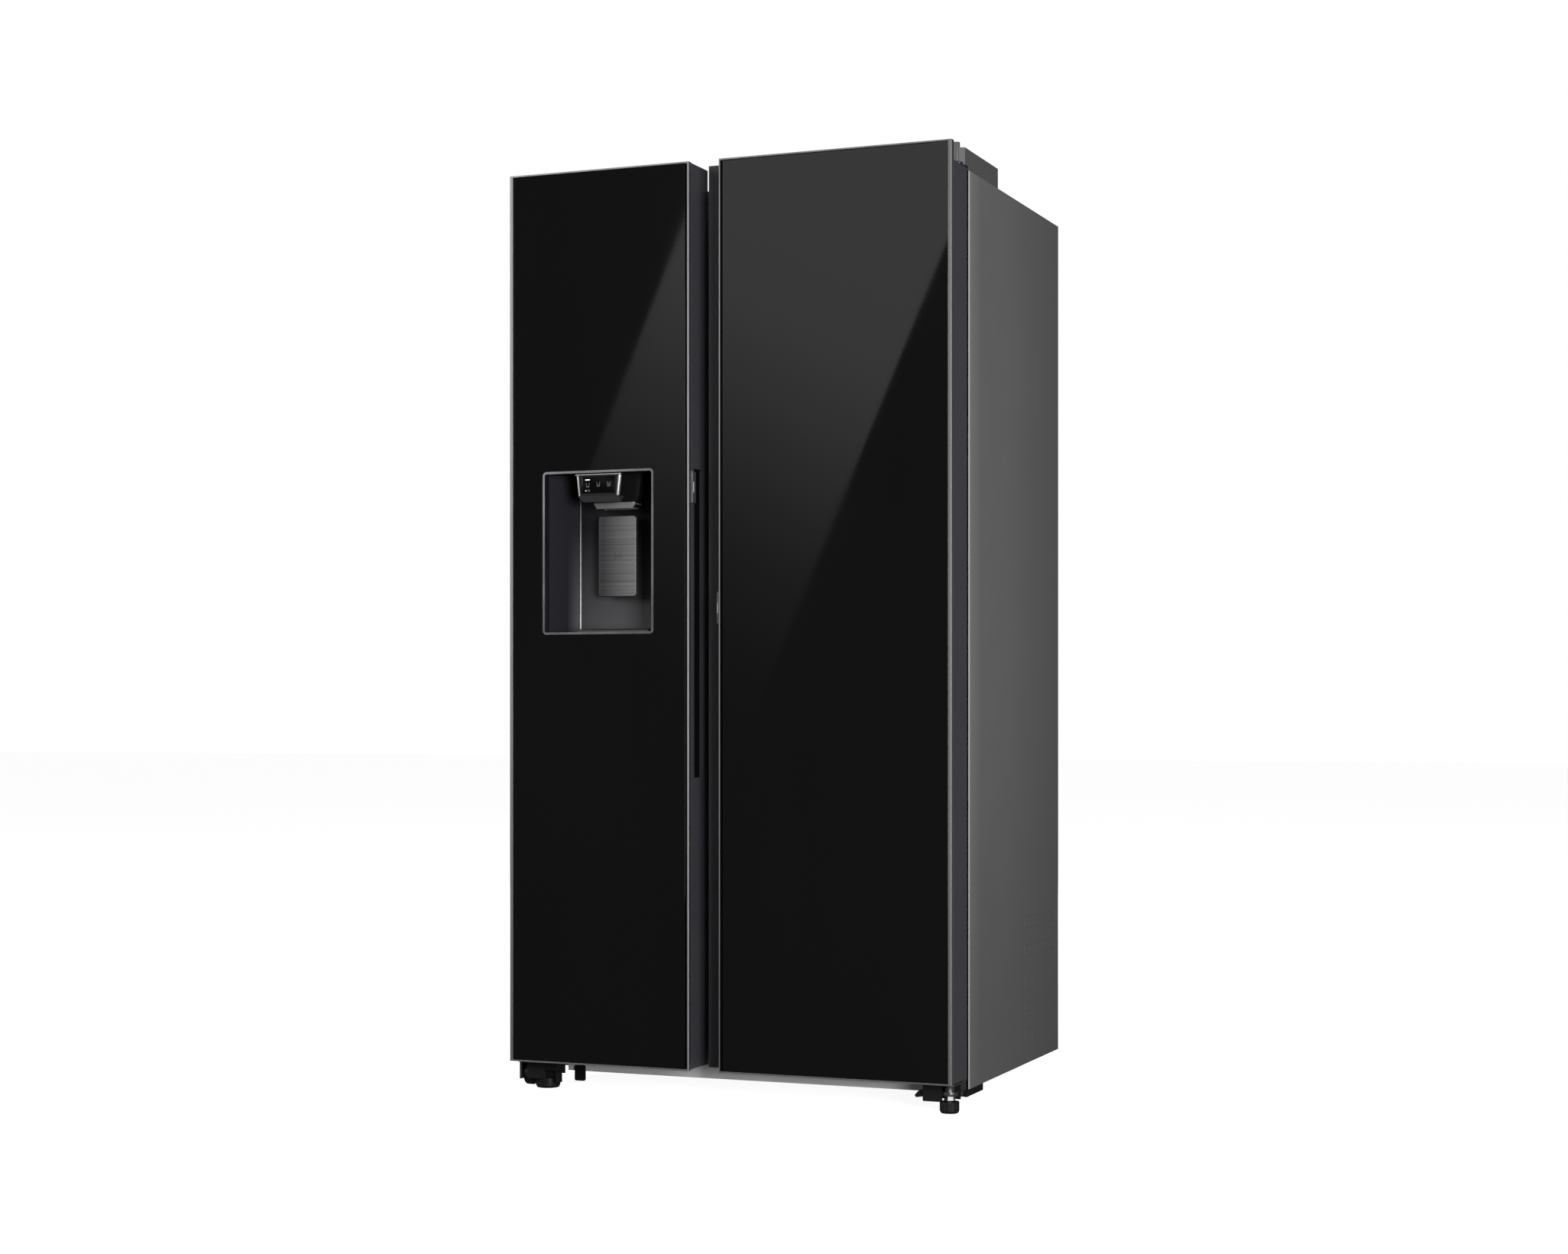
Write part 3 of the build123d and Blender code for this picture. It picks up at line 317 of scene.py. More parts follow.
def paddle_metal():
    """Dark stainless with fine level lines; painted light makes it lighter towards its right edge."""
    look = Nodes("paddle_metal")
    line = look.noise(90.0, 3.0, 0.75, (0.02, 1, 9))
    level = look.ramp(line, 0, 1, 0.38, 0.66)
    # Painted light: a shaded colour on the left, a lit colour on the right.
    left = look.blend(level, (0.024, 0.024, 0.026), (0.050, 0.050, 0.053))
    right = look.blend(level, (0.140, 0.140, 0.142), (0.240, 0.240, 0.243))
    look.link(look.blend(look.along("X", PADDLE_LOW[0] + 11 * MM, PADDLE_HIGH[0]), left, right), "Base Color")
    look.link(look.ramp(line, 0.34, 0.48), "Roughness")
    look.bump(line, 0.3, 0.04 * MM)
    look.plain(metallic=0.5)
    return look.material


def clear_plastic(name, tint, rough):
    """Clear shelf or bin material with faint clouds in its gloss."""
    look = Nodes(name)
    cloud = look.noise(25.0, 3.0)
    look.link(look.blend(look.ramp(cloud, 0, 1), tint, times(tint, 1.04)), "Base Color")
    look.link(look.ramp(cloud, *rough), "Roughness")
    look.bump(look.noise(60.0, 2.0), 0.05, 0.3 * MM)
    look.plain(ior=1.3, transmission=0.85)
    return look.material


def spangled(name):
    """Zinc coated sheet with its crystal pattern."""
    look = Nodes(name)
    cell = look.cells(140.0)
    tone = look.add("ShaderNodeSeparateColor", Color=cell["Color"]).outputs["Red"]
    look.link(look.blend(tone, (0.36, 0.37, 0.38), (0.52, 0.53, 0.54)), "Base Color")
    look.link(look.ramp(tone, 0.3, 0.5, 0.0, 1.0), "Roughness")
    look.bump(look.noise(400.0, 2.0), 0.1, 0.05 * MM)
    look.plain(metallic=0.85)
    return look.material


def foam(name, chute=None):
    """Rigid foam; round the ice passage it has a grey skin."""
    look = Nodes(name)
    cell = look.cells(500.0)["Distance"]
    colour = look.blend(look.ramp(cell, 0, 1, 0.0, 0.7), (0.62, 0.52, 0.30), (0.80, 0.71, 0.48))
    if chute:
        colour = look.blend(look.inside(chute), colour, (0.30, 0.31, 0.32))
    look.link(colour, "Base Color")
    look.link(look.ramp(cell, 0.8, 0.95), "Roughness")
    look.bump(cell, 0.6, 0.5 * MM)
    return look.material


def glow(name, colour, strength):
    """Lens lit from inside, with faint clouds."""
    look = Nodes(name)
    cloud = look.noise(40.0, 2.0)
    look.link(look.blend(look.ramp(cloud, 0, 1), times(colour, 0.92), colour), "Base Color")
    look.link(look.blend(look.ramp(cloud, 0, 1), times(colour, 0.95), colour), "Emission Color")
    look.shader.inputs["Emission Strength"].default_value = strength
    look.link(look.ramp(cloud, 0.25, 0.4), "Roughness")
    return look.material


def outer_materials():
    """Cabinet, doors, feet and hinges."""
    return {
        "side": cabinet_paint(),
        "left_paint": door_paint("left_door_paint", LEFT_GRIP_SHADE),
        "right_paint": door_paint("right_door_paint", RIGHT_GRIP_SHADE),
        "door_frame": door_frame(),
        "glass": black_glass(),
        "rail": grained("rail_paint", (0.42, 0.42, 0.425), (0.50, 0.50, 0.505), (0.30, 0.42), 700.0,
                        0.06 * MM, 0.15, metallic=0.25),
        "low_rail": grained("low_rail_paint", (0.76, 0.76, 0.77), (0.84, 0.84, 0.85), (0.34, 0.46), 700.0,
                            0.06 * MM, 0.15),
        "cover": grained("cover_plastic", (0.088, 0.088, 0.091), (0.098, 0.098, 0.101), (0.42, 0.58), 1300.0,
                         0.12 * MM),
        "black": grained("black_plastic", (0.0035, 0.0035, 0.0042), (0.0075, 0.0075, 0.0085), (0.38, 0.60),
                         1100.0, 0.15 * MM, 0.4, specular=0.28),
        "seal": grained("door_seal", (0.005, 0.005, 0.005), (0.009, 0.009, 0.009), (0.5, 0.7), 700.0,
                        0.1 * MM, 0.3, sheen=0.1),
        "pad": grained("pad_plastic", (0.050, 0.050, 0.054), (0.062, 0.062, 0.066), (0.22, 0.34), 1300.0,
                       0.05 * MM, 0.15),
        "hinge": grained("hinge_steel", (0.07, 0.07, 0.072), (0.11, 0.11, 0.113), (0.30, 0.46), 900.0,
                         0.08 * MM, 0.25, metallic=0.7),
        "zinc": brushed("zinc_fasteners", (0.34, 0.34, 0.35), (0.46, 0.46, 0.47), (0.25, 0.38), (1, 1, 1)),
        "sheet": spangled("zinc_sheet"),
    }


def dispenser_materials():
    """Recess, control housing, spout and paddle."""
    # Painted light: the recess grows lighter towards its foot.
    lower = ("Z", 1.10, 0.90, (0.078, 0.0770, 0.081))
    # Painted shade: the swept left wall of the recess is darker.
    shaded_left_wall = ("X", RIDGE_X - 5 * MM, RIDGE_X - 19 * MM, (0.0110, 0.0100, 0.0140))
    mouth = ("Z", SPOUT_LOW[2] + 13 * MM, SPOUT_LOW[2], (0.012, 0.012, 0.0125))
    lip_right = ("X", SPOUT_X - 19 * MM, SPOUT_X + 19 * MM, (0.17, 0.17, 0.17))
    under_step = ("Z", HOUSING_STEP + 0.2 * MM, HOUSING_STEP - 0.2 * MM, (0.040, 0.040, 0.041))
    cheek_foot = ("Z", PANEL_HIGH[2] - 5.8 * MM, HOUSING_STEP + 1 * MM, (0.24, 0.24, 0.245))
    # Painted highlight: the bead grows bright towards its foot.
    bead_highlight_foot = ("Z", 1.13, 0.90, (0.50, 0.50, 0.51))
    return {
        "trim": brushed("recess_trim", (0.27, 0.27, 0.275), (0.33, 0.33, 0.335), (0.26, 0.36), (0.2, 1, 0.2),
                        0.03),
        "paddle": paddle_metal(),
        "niche": graded("recess_plastic", (0.0125, 0.0120, 0.0150), (lower, shaded_left_wall), (0.40, 0.52), 1500.0,
                        0.06 * MM, specular=0.04),
        "window": graded("control_glass", (0.0030, 0.0030, 0.0033), (), (0.12, 0.20), 900.0, 0.01 * MM, 0.02,
                         specular=0.08),
        "spout": graded("spout_plastic", (0.0035, 0.0035, 0.004), (mouth,), (0.55, 0.70), 1200.0, 0.08 * MM,
                        specular=0.15),
        "lip": graded("spout_lip", (0.10, 0.10, 0.10), (lip_right,), (0.30, 0.42), 900.0, 0.05 * MM),
        "panel": graded("panel_plastic", (0.0045, 0.0045, 0.005), (under_step,), (0.20, 0.30), 1200.0,
                        0.04 * MM, 0.1),
        "cheek": graded("cheek_metal", (0.42, 0.42, 0.425), (cheek_foot,), (0.24, 0.32), 900.0, 0.03 * MM,
                        0.05, metallic=0.35),
        "bead": graded("bead_metal", (0.05, 0.05, 0.052), (bead_highlight_foot,), (0.26, 0.34), 900.0, 0.03 * MM, 0.05,
                       metallic=0.2),
    }


def inner_materials():
    """Linings, shelves, drawers and the cooling parts."""
    return {
        "white": grained("white_liner", (0.78, 0.79, 0.80), (0.84, 0.85, 0.86), (0.28, 0.40), 500.0,
                         0.05 * MM, 0.15),
        "frame": brushed("frame_metal", (0.19, 0.19, 0.195), (0.23, 0.23, 0.235), (0.36, 0.44), (1, 1, 0.02),
                         0.0),
        "shelf_glass": clear_plastic("shelf_glass", (0.90, 0.96, 0.94), (0.01, 0.03)),
        "clear": clear_plastic("clear_bin_plastic", (0.93, 0.95, 0.97), (0.06, 0.14)),
        "grey": grained("grey_moulding", (0.42, 0.43, 0.44), (0.50, 0.51, 0.52), (0.35, 0.50), 800.0,
                        0.08 * MM, 0.25),
        "foam": foam("rigid_foam"),
        "door_foam": foam("door_foam", CHUTE),
        "fins": brushed("coil_metal", (0.55, 0.55, 0.55), (0.70, 0.70, 0.70), (0.28, 0.45), (1, 1, 4)),
        "pot": grained("black_enamel", (0.012, 0.012, 0.012), (0.020, 0.020, 0.021), (0.18, 0.30), 260.0,
                       0.2 * MM, 0.3, coat=0.4),
    }


def light_materials():
    """Lamps, lit lines and lit symbols."""
    return {
        "lamp": glow("lamp_lens", (1.0, 0.98, 0.94), 7.0),
        "signal": glow("signal_light", (0.80, 0.80, 0.80), 0.8),
        "pad_light": glow("pad_light", (0.26, 0.26, 0.26), 0.2),
        "icon": glow("icon_light", (0.20, 0.205, 0.21), 0.5),
    }


MAT = {**outer_materials(), **dispenser_materials(), **inner_materials(), **light_materials()}

NODE_MATERIAL = {
    "side": ("cabinet_side_left", "cabinet_side_right", "cabinet_top"),
    "sheet": ("back_panels", "cabinet_base"),
    "rail": ("mullion_cover",),
    "low_rail": ("lower_rail",),
    "foam": ("cabinet_foam", "right_door_foam"),
    "door_foam": ("left_door_foam",),
    "white": ("freezer_liner", "fridge_liner", "air_covers", "left_door_liner", "right_door_liner",
              "ice_maker", "ice_auger"),
    "shelf_glass": ("glass_shelves",),
    "frame": ("shelf_trims",),
    "door_frame": ("left_door_trim", "right_door_trim"),
    "lamp": ("led_lamps",),
    "fins": ("evaporator", "condenser"),
    "pot": ("compressor",),
    "grey": ("water_valve", "freezer_fan", "condenser_fan"),
    "black": ("power_inlet", "floor_brackets", "front_foot_left", "front_foot_right", "front_roller_left",
              "rear_roller_left", "rear_roller_right", "ice_flap"),
    "zinc": ("screws",),
    "cover": ("hinge_covers",),
    "hinge": ("door_hinges",),
    "clear": ("freezer_drawer_lower", "freezer_drawer_upper", "crisper_lower", "crisper_upper",
              "left_door_bins", "right_door_bins", "ice_bin", "dairy_lid"),
    "glass": ("left_door_glass", "right_door_glass"),
    "left_paint": ("left_door_shell",),
    "right_paint": ("right_door_shell",),
    "seal": ("left_door_gasket", "right_door_gasket"),
    "trim": ("dispenser_trim",),
    "niche": ("dispenser_niche",),
    "panel": ("dispenser_panel",),
    "spout": ("dispenser_spout",),
    "paddle": ("dispenser_paddle",),
    "pad": ("left_touch_pad", "right_touch_pad"),
}

# Edge rounding in millimetres for the nodes with long crisp edges
EDGE_ROUND = {
    "cabinet_top": 0.6, "cabinet_side_left": 0.5, "cabinet_side_right": 0.5, "hinge_covers": 1.2,
    "left_door_shell": 0.7, "right_door_shell": 0.7, "left_door_trim": 0.35, "right_door_trim": 0.35,
    "left_door_glass": 0.3, "right_door_glass": 0.3, "lower_rail": 0.5, "left_door_liner": 1.5,
    "right_door_liner": 1.5, "freezer_liner": 1.0, "fridge_liner": 1.0, "glass_shelves": 0.6,
    "shelf_trims": 0.4, "left_door_bins": 0.8, "right_door_bins": 0.8, "ice_bin": 0.8,
    "freezer_drawer_lower": 0.8, "freezer_drawer_upper": 0.8, "crisper_lower": 0.8, "crisper_upper": 0.8,
    "floor_brackets": 0.5, "door_hinges": 0.4, "dispenser_spout": 0.8, "mullion_cover": 0.4,
    "ice_maker": 1.0, "dairy_lid": 0.6,
}


def dress_nodes():
    """Gives every CAD node its material, and the long crisp ones a rounded edge."""
    for key, names in NODE_MATERIAL.items():
        for name in names:
            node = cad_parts[name]
            node.data.materials.clear()
            node.data.materials.append(MAT[key])
    for name, width in EDGE_ROUND.items():
        round_edges(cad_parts[name], width * MM)


def round_edges(obj, width):
    """Joins the faces' shared corners, then rounds the sharp edges."""
    weld = obj.modifiers.new("join", "WELD")
    weld.merge_threshold = 0.02 * MM
    bevel = obj.modifiers.new("edges", "BEVEL")
    bevel.width = width
    bevel.segments = 2
    bevel.limit_method = "ANGLE"
    bevel.angle_limit = math.radians(38)
    bevel.harden_normals = True


# ---------------------------------------------------------------- mesh helpers

def piece(name, bm, body, material):
    """Turns a bmesh in row-frame metres into a piece that rides on a body."""
    bmesh.ops.recalc_face_normals(bm, faces=bm.faces)
    mesh = bpy.data.meshes.new(name)
    bm.to_mesh(mesh)
    bm.free()
    mesh.materials.append(material)
    for polygon in mesh.polygons:
        polygon.use_smooth = True
    mesh.set_sharp_from_angle(angle=math.radians(40))
    obj = bpy.data.objects.new(name, mesh)
    bpy.context.scene.collection.objects.link(obj)
    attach(obj, body)
    return obj


def rounded_rectangle(width, height, radius, steps=6):
    """Outline points of a rectangle with round corners, about its middle."""
    points = []
    for quarter in range(4):
        centre_u = (width / 2 - radius) * (1 if quarter in (0, 3) else -1)
        centre_v = (height / 2 - radius) * (1 if quarter in (0, 1) else -1)
        for i in range(steps + 1):
            turn = math.pi / 2 * (quarter + i / steps)
            points.append((centre_u + radius * math.cos(turn), centre_v + radius * math.sin(turn)))
    return points


def shrunk(outline, margin):
    """The outline drawn in by a margin on every side."""
    columns = []
    for values in zip(*outline):
        low, high = min(values), max(values)
        middle = (low + high) / 2
        factor = 1 - 2 * margin / (high - low)
        columns.append([middle + (value - middle) * factor for value in values])
    return list(zip(*columns))


def bridge(bm, loops, closed=False):
    """Walls from each loop of vertices to the next; closed also joins the last loop to the first."""
    pairs = list(zip(loops, loops[1:]))
    if closed:
        pairs.append((loops[-1], loops[0]))
    for lower, upper in pairs:
        for i in range(-1, len(lower) - 1):
            bm.faces.new((lower[i], lower[i + 1], upper[i + 1], upper[i]))


def cap(bm, loops):
    """Closes both ends of a row of loops."""
    bm.faces.new(loops[0][::-1])
    bm.faces.new(loops[-1])


def add_prism(bm, outline, place, low, high, soften=0.0):
    """Adds a closed prism; place(u, v, w) gives the point, w runs from low to high."""
    sections = [(low, outline), (high - soften, outline)]
    if soften:
        sections.append((high, shrunk(outline, soften)))
    loops = [[bm.verts.new(place(u, v, w)) for u, v in section] for w, section in sections]
    bridge(bm, loops)
    cap(bm, loops)


def facing_front(x, y, z):
    """Places (u, v, w) with u along X, v along Z and w towards the front."""
    return lambda u, v, w: Vector((x + u, y - w, z + v))


def facing_side(x, y, z, sign):
    """Places (u, v, w) with u along Y, v along Z and w along X in the direction of sign."""
    return lambda u, v, w: Vector((x + sign * w, y + u, z + v))


def facing_up(x, y, z):
    """Places (u, v, w) with u along X, v along Y and w upwards."""
    return lambda u, v, w: Vector((x + u, y + v, z + w))


def add_line(bm, start, end, width, place, thick):
    """A thin straight bar of a flat symbol; start and end are in millimetres."""
    first, last = Vector(start) * MM, Vector(end) * MM
    along = (last - first).normalized() * width / 2
    side = Vector((-along.y, along.x))
    corners = [first - along - side, last + along - side, last + along + side, first - along + side]
    add_prism(bm, [tuple(corner) for corner in corners], place, 0.0, thick)


# ---------------------------------------------------------------- door seals

# Section of the seal: across it from its outer edge, and back from its front, as parts of its size
SEAL_SECTION = ((0.02, 0.0), (0.98, 0.0), (0.98, 0.16), (0.70, 0.20), (0.62, 0.30), (0.86, 0.38),
                (0.62, 0.48), (0.66, 0.56), (0.95, 0.62), (1.0, 0.80), (0.94, 0.98), (0.06, 0.98),
                (0.0, 0.80), (0.05, 0.62), (0.34, 0.56), (0.38, 0.48), (0.14, 0.38), (0.38, 0.30),
                (0.30, 0.20), (0.02, 0.16))
SEAL_WIDTH = 13 * MM
SEAL_RADIUS = 18 * MM


def door_seal(side):
    """Bellows seal with a magnet bulb, swept round the door with rounded corners."""
    node = f"{side}_door_gasket"
    low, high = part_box(node)
    bm = bmesh.new()
    loops = []
    for quarter in range(4):
        x = high[0] - SEAL_RADIUS if quarter in (0, 3) else low[0] + SEAL_RADIUS
        z = high[2] - SEAL_RADIUS if quarter in (0, 1) else low[2] + SEAL_RADIUS
        for i in range(6):
            turn = math.pi / 2 * (quarter + i / 5)
            outward = Vector((math.cos(turn), 0, math.sin(turn)))
            loop = []
            for across, back in SEAL_SECTION:
                middle = Vector((x, low[1] + back * (high[1] - low[1]), z))
                loop.append(bm.verts.new(middle + outward * (SEAL_RADIUS - across * SEAL_WIDTH)))
            loops.append(loop)
    bridge(bm, loops, closed=True)
    obj = piece(f"{side}_seal_bellows", bm, f"{side}_door", MAT["seal"])
    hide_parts(node)


# ---------------------------------------------------------------- dispenser

def control_window():
    """Dark glass window of the control housing."""
    bm = bmesh.new()
    outline = rounded_rectangle(71 * MM, 32.4 * MM, 2.5 * MM)
    place = facing_front(PANEL_X, PANEL_LOW[1] + 1.95 * MM, WINDOW_Z)
    add_prism(bm, outline, place, 0.0, 1.8 * MM, 0.3 * MM)
    piece("control_window", bm, "left_door", MAT["window"])


def on_window(across, up):
    """Places a flat symbol on the control window, by millimetres from its middle."""
    return facing_front(PANEL_X + across * MM, SYMBOL_Y, WINDOW_Z + up * MM)


def control_state_bar():
    """Lit bar and lit dot of the control window."""
    bm = bmesh.new()
    bar = rounded_rectangle(10 * MM, 1.9 * MM, 0.5 * MM, 2)
    dot = rounded_rectangle(2.0 * MM, 2.0 * MM, 0.9 * MM, 4)
    add_prism(bm, bar, on_window(-23, 10), 0.0, SYMBOL_THICK)
    add_prism(bm, dot, on_window(-26.5, -11), 0.0, SYMBOL_THICK)
    piece("control_state_bar", bm, "left_door", MAT["signal"])


def control_symbols():
    """Generic lit symbols: three glasses with one, two and three levels, and three strokes."""
    bm = bmesh.new()
    glass = ((-3.4, 4.25), (-2.4, -4.25), (2.4, -4.25), (3.4, 4.25))
    for index, across in enumerate((-22.5, 0.0, 22.5)):
        place = on_window(across, 1.0 if index else 0.0)
        for start, end in zip(glass, glass[1:]):
            add_line(bm, start, end, 0.42 * MM, place, SYMBOL_THICK)
        for level in range(index + 1):
            height = -2.6 + 2.2 * level
            add_line(bm, (-1.6, height), (1.6, height), 0.42 * MM, place, SYMBOL_THICK)
    for across in (-1.8, 0.0, 1.8):
        add_line(bm, (across, -1.6), (across, 1.6), 0.4 * MM, on_window(-20.5, -11), SYMBOL_THICK)
    piece("control_symbols", bm, "left_door", MAT["icon"])


def control_cheeks():
    """Bright rounded cheeks down both sides of the control housing, and the bright line over it."""
    radius, inset, thick = 4.7 * MM, 4.2 * MM, 0.8 * MM
    ends = ((PANEL_HIGH[2] - 5 * MM, 47.6 * MM), (HOUSING_STEP + 0.5 * MM, 43.4 * MM))
    bm = bmesh.new()
    for sign in (-1, 1):
        loops = []
        for z, half in ends:
            outer = []
            for i in range(9):
                turn = math.pi / 2 * i / 8
                x = PANEL_X + sign * (half - inset + radius * math.sin(turn))
                outer.append(Vector((x, PANEL_LOW[1] + inset - radius * math.cos(turn), z)))
            inner = [point + Vector((-sign, 1, 0)) * thick for point in outer]
            loops.append([bm.verts.new(point) for point in outer + inner[::-1]])
        bridge(bm, loops)
        cap(bm, loops)
    line = rounded_rectangle(99 * MM, 1.5 * MM, 0.7 * MM, 3)
    place = facing_front(PANEL_X, PANEL_LOW[1] + 0.4 * MM, PANEL_HIGH[2] - 3.2 * MM)
    add_prism(bm, line, place, 0.0, 0.9 * MM)
    piece("control_cheeks", bm, "left_door", MAT["cheek"])


def recess_bead():
    """Half-round bead where the swept wall meets the flat back, with a painted highlight that brightens
    towards its foot.
    """
    x, y, radius = RIDGE_X + 1 * MM, FRONT + 62.6 * MM, 2.1 * MM
    turns = [math.pi * (1 + i / 16) for i in range(17)]
    bm = bmesh.new()
    loops = []
    for z in (NICHE_LOW[2] + 3 * MM, NICHE_HIGH[2] - 3 * MM):
        points = [(x + radius * math.cos(turn), y + radius * math.sin(turn), z) for turn in turns]
        loops.append([bm.verts.new(point) for point in points])
    bridge(bm, loops)
    cap(bm, loops)
    piece("recess_bead", bm, "left_door", MAT["bead"])


def spout_lip():
    """Light grey rim round the mouth of the spout, down its outside and up its inside."""
    sections = ((12.2, 46.0, 18.2, 6), (10.0, 45.6, 18.4, 6), (2.2, 40.2, 18.3, 6), (0.0, 39.4, 17.9, 6),
                (0.0, 34.6, 15.8, 4), (12.2, 34.6, 15.8, 4))
    bm = bmesh.new()
    loops = []
    for up, half_x, half_y, radius in sections:
        place = facing_up(SPOUT_X, SPOUT_Y, SPOUT_LOW[2] + up * MM)
        outline = rounded_rectangle(2 * half_x * MM, 2 * half_y * MM, radius * MM)
        loops.append([bm.verts.new(place(u, v, 0.0)) for u, v in outline])
    bridge(bm, loops, closed=True)
    piece("spout_lip", bm, "left_door", MAT["lip"])


def drip_grille():
    """Slotted tray on the floor of the recess."""
    left, right = NICHE_LOW[0] + 70.5 * MM, NICHE_HIGH[0] - 16.5 * MM
    front, back = FRONT + 15 * MM, FRONT + 55 * MM
    floor = NICHE_LOW[2] + 5.7 * MM
    bars = 17
    pitch = (right - left) / bars
    bm = bmesh.new()
    bar = rounded_rectangle(pitch * 0.5, back - front - 6 * MM, pitch * 0.2, 3)
    for i in range(bars):
        place = facing_up(left + pitch * (i + 0.5), (front + back) / 2, floor)
        add_prism(bm, bar, place, 0.0, 2.4 * MM, 0.5 * MM)
    rail = rounded_rectangle(right - left + 4 * MM, 4 * MM, 1.5 * MM, 3)
    for y in (front, back):
        add_prism(bm, rail, facing_up((left + right) / 2, y, floor), 0.0, 2.8 * MM, 0.6 * MM)
    piece("drip_grille", bm, "left_door", MAT["black"])


def paddle_symbol():
    """Etched outline of a glass on the paddle, with a stroke under it."""
    x = (PADDLE_LOW[0] + PADDLE_HIGH[0]) / 2 + 2 * MM
    place = facing_front(x, PADDLE_LOW[1] + 0.02 * MM, PADDLE_LOW[2] + 79 * MM)
    bm = bmesh.new()
    for start, end in (((-7, 9), (-5, 0)), ((-5, 0), (5, 0)), ((5, 0), (7, 9)), ((-9, -4), (9, -4))):
        add_line(bm, start, end, 0.5 * MM, place, 0.02 * MM)
    piece("paddle_symbol", bm, "dispenser_paddle", MAT["grey"])


# ---------------------------------------------------------------- touch pads

def pad_nose():
    """Front lip of the fridge door's touch pad, which stands out beside the frame, with its lit line."""
    low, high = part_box("right_touch_pad")
    middle = (low[2] + high[2]) / 2 - 1.2 * MM
    nose = rounded_rectangle(12 * MM, 61 * MM, 2.5 * MM, 4)
    bm = bmesh.new()
    place = facing_side(high[0] - 0.1 * MM, FRONT + 9 * MM, middle, -1)
    add_prism(bm, nose, place, 0.0, 5.0 * MM, 0.6 * MM)
    piece("right_pad_nose", bm, "right_door", MAT["pad"])
    line = rounded_rectangle(1.7 * MM, 20.6 * MM, 0.6 * MM, 4)
    bm = bmesh.new()
    place = facing_front(high[0] - 3.0 * MM, FRONT + 3 * MM, middle)
    add_prism(bm, line, place, -0.3 * MM, 0.15 * MM)
    piece("right_pad_nose_light", bm, "right_door", MAT["pad_light"])


def pad_light(side):
    """Lit line let into the touch pad."""
    low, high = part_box(f"{side}_touch_pad")
    outer, sign = (high[0], 1) if side == "left" else (low[0], -1)
    place = facing_side(outer - sign * 0.55 * MM, FRONT + 15 * MM, (low[2] + high[2]) / 2, sign)
    bm = bmesh.new()
    add_prism(bm, rounded_rectangle(1.5 * MM, 20.6 * MM, 0.7 * MM, 4), place, 0.0, 0.5 * MM)
    piece(f"{side}_pad_light", bm, f"{side}_door", MAT["signal"])


# ---------------------------------------------------------------- stage

# The photograph's camera: place in metres, turn in radians, lens in millimetres
CAMERA = (1.926, -4.8559, 0.7534)
CAMERA_TURN = 0.3809
LENS = 3369.9 / 2052 * 36
SHIFT_UP = 103.4 / 2052

# Brightness of the card along its own slanted scale
CARD_LEVELS = ((-0.30, 0.005), (-0.05, 0.036), (0.25, 0.105), (0.45, 0.19), (0.65, 0.315), (0.85, 0.45),
               (1.05, 0.60), (1.25, 0.735), (1.40, 0.795), (1.60, 0.825), (1.70, 0.83))
CARD_SLANT = 0.54

# Sides of the card: X on the floor, and how far it moves for each metre of height
CARD_LEFT = (-3.2038, 0.4274)
CARD_RIGHT = (-2.1135, 0.4395)
CARD_HEIGHTS = (0.2, 3.4)
ROOM_GLOW = 0.085


def add_camera():
    data = bpy.data.cameras.new("camera")
    data.lens = LENS
    data.sensor_width = 36
    data.shift_y = SHIFT_UP
    camera = bpy.data.objects.new("camera", data)
    camera.location = CAMERA
    camera.rotation_euler = (math.pi / 2, 0, CAMERA_TURN)
    bpy.context.scene.collection.objects.link(camera)
    bpy.context.scene.camera = camera


def add_area(name, place, target, size, watts, glossy=True):
    data = bpy.data.lights.new(name, "AREA")
    data.shape = "RECTANGLE"
    data.size, data.size_y = size
    data.energy = watts
    light = bpy.data.objects.new(name, data)
    light.location = place
    aim = Vector(target) - Vector(place)
    light.rotation_euler = aim.to_track_quat("-Z", "Y").to_euler()
    light.visible_glossy = glossy
    light.visible_camera = False
    bpy.context.scene.collection.objects.link(light)


def add_world():
    """White seen directly, dim grey for light and reflections."""
    world = bpy.data.worlds.new("studio")
    world.use_nodes = True
    tree = world.node_tree
    tree.nodes.clear()
    seen = tree.nodes.new("ShaderNodeBackground")
    seen.inputs["Color"].default_value = (1, 1, 1, 1)
    seen.inputs["Strength"].default_value = 1.0
    fill = tree.nodes.new("ShaderNodeBackground")
    fill.inputs["Color"].default_value = (ROOM_GLOW, ROOM_GLOW, ROOM_GLOW, 1)
    path = tree.nodes.new("ShaderNodeLightPath")
    mix = tree.nodes.new("ShaderNodeMixShader")
    out = tree.nodes.new("ShaderNodeOutputWorld")
    tree.links.new(path.outputs["Is Camera Ray"], mix.inputs[0])
    tree.links.new(fill.outputs[0], mix.inputs[1])
    tree.links.new(seen.outputs[0], mix.inputs[2])
    tree.links.new(mix.outputs[0], out.inputs["Surface"])
    bpy.context.scene.world = world


def add_flat(name, corners, material):
    """A four-cornered sheet of the stage."""
    mesh = bpy.data.meshes.new(name)
    mesh.from_pydata(corners, [], [(0, 1, 2, 3)])
    mesh.materials.append(material)
    sheet = bpy.data.objects.new(name, mesh)
    sheet.visible_diffuse = False
    bpy.context.scene.collection.objects.link(sheet)
    return sheet


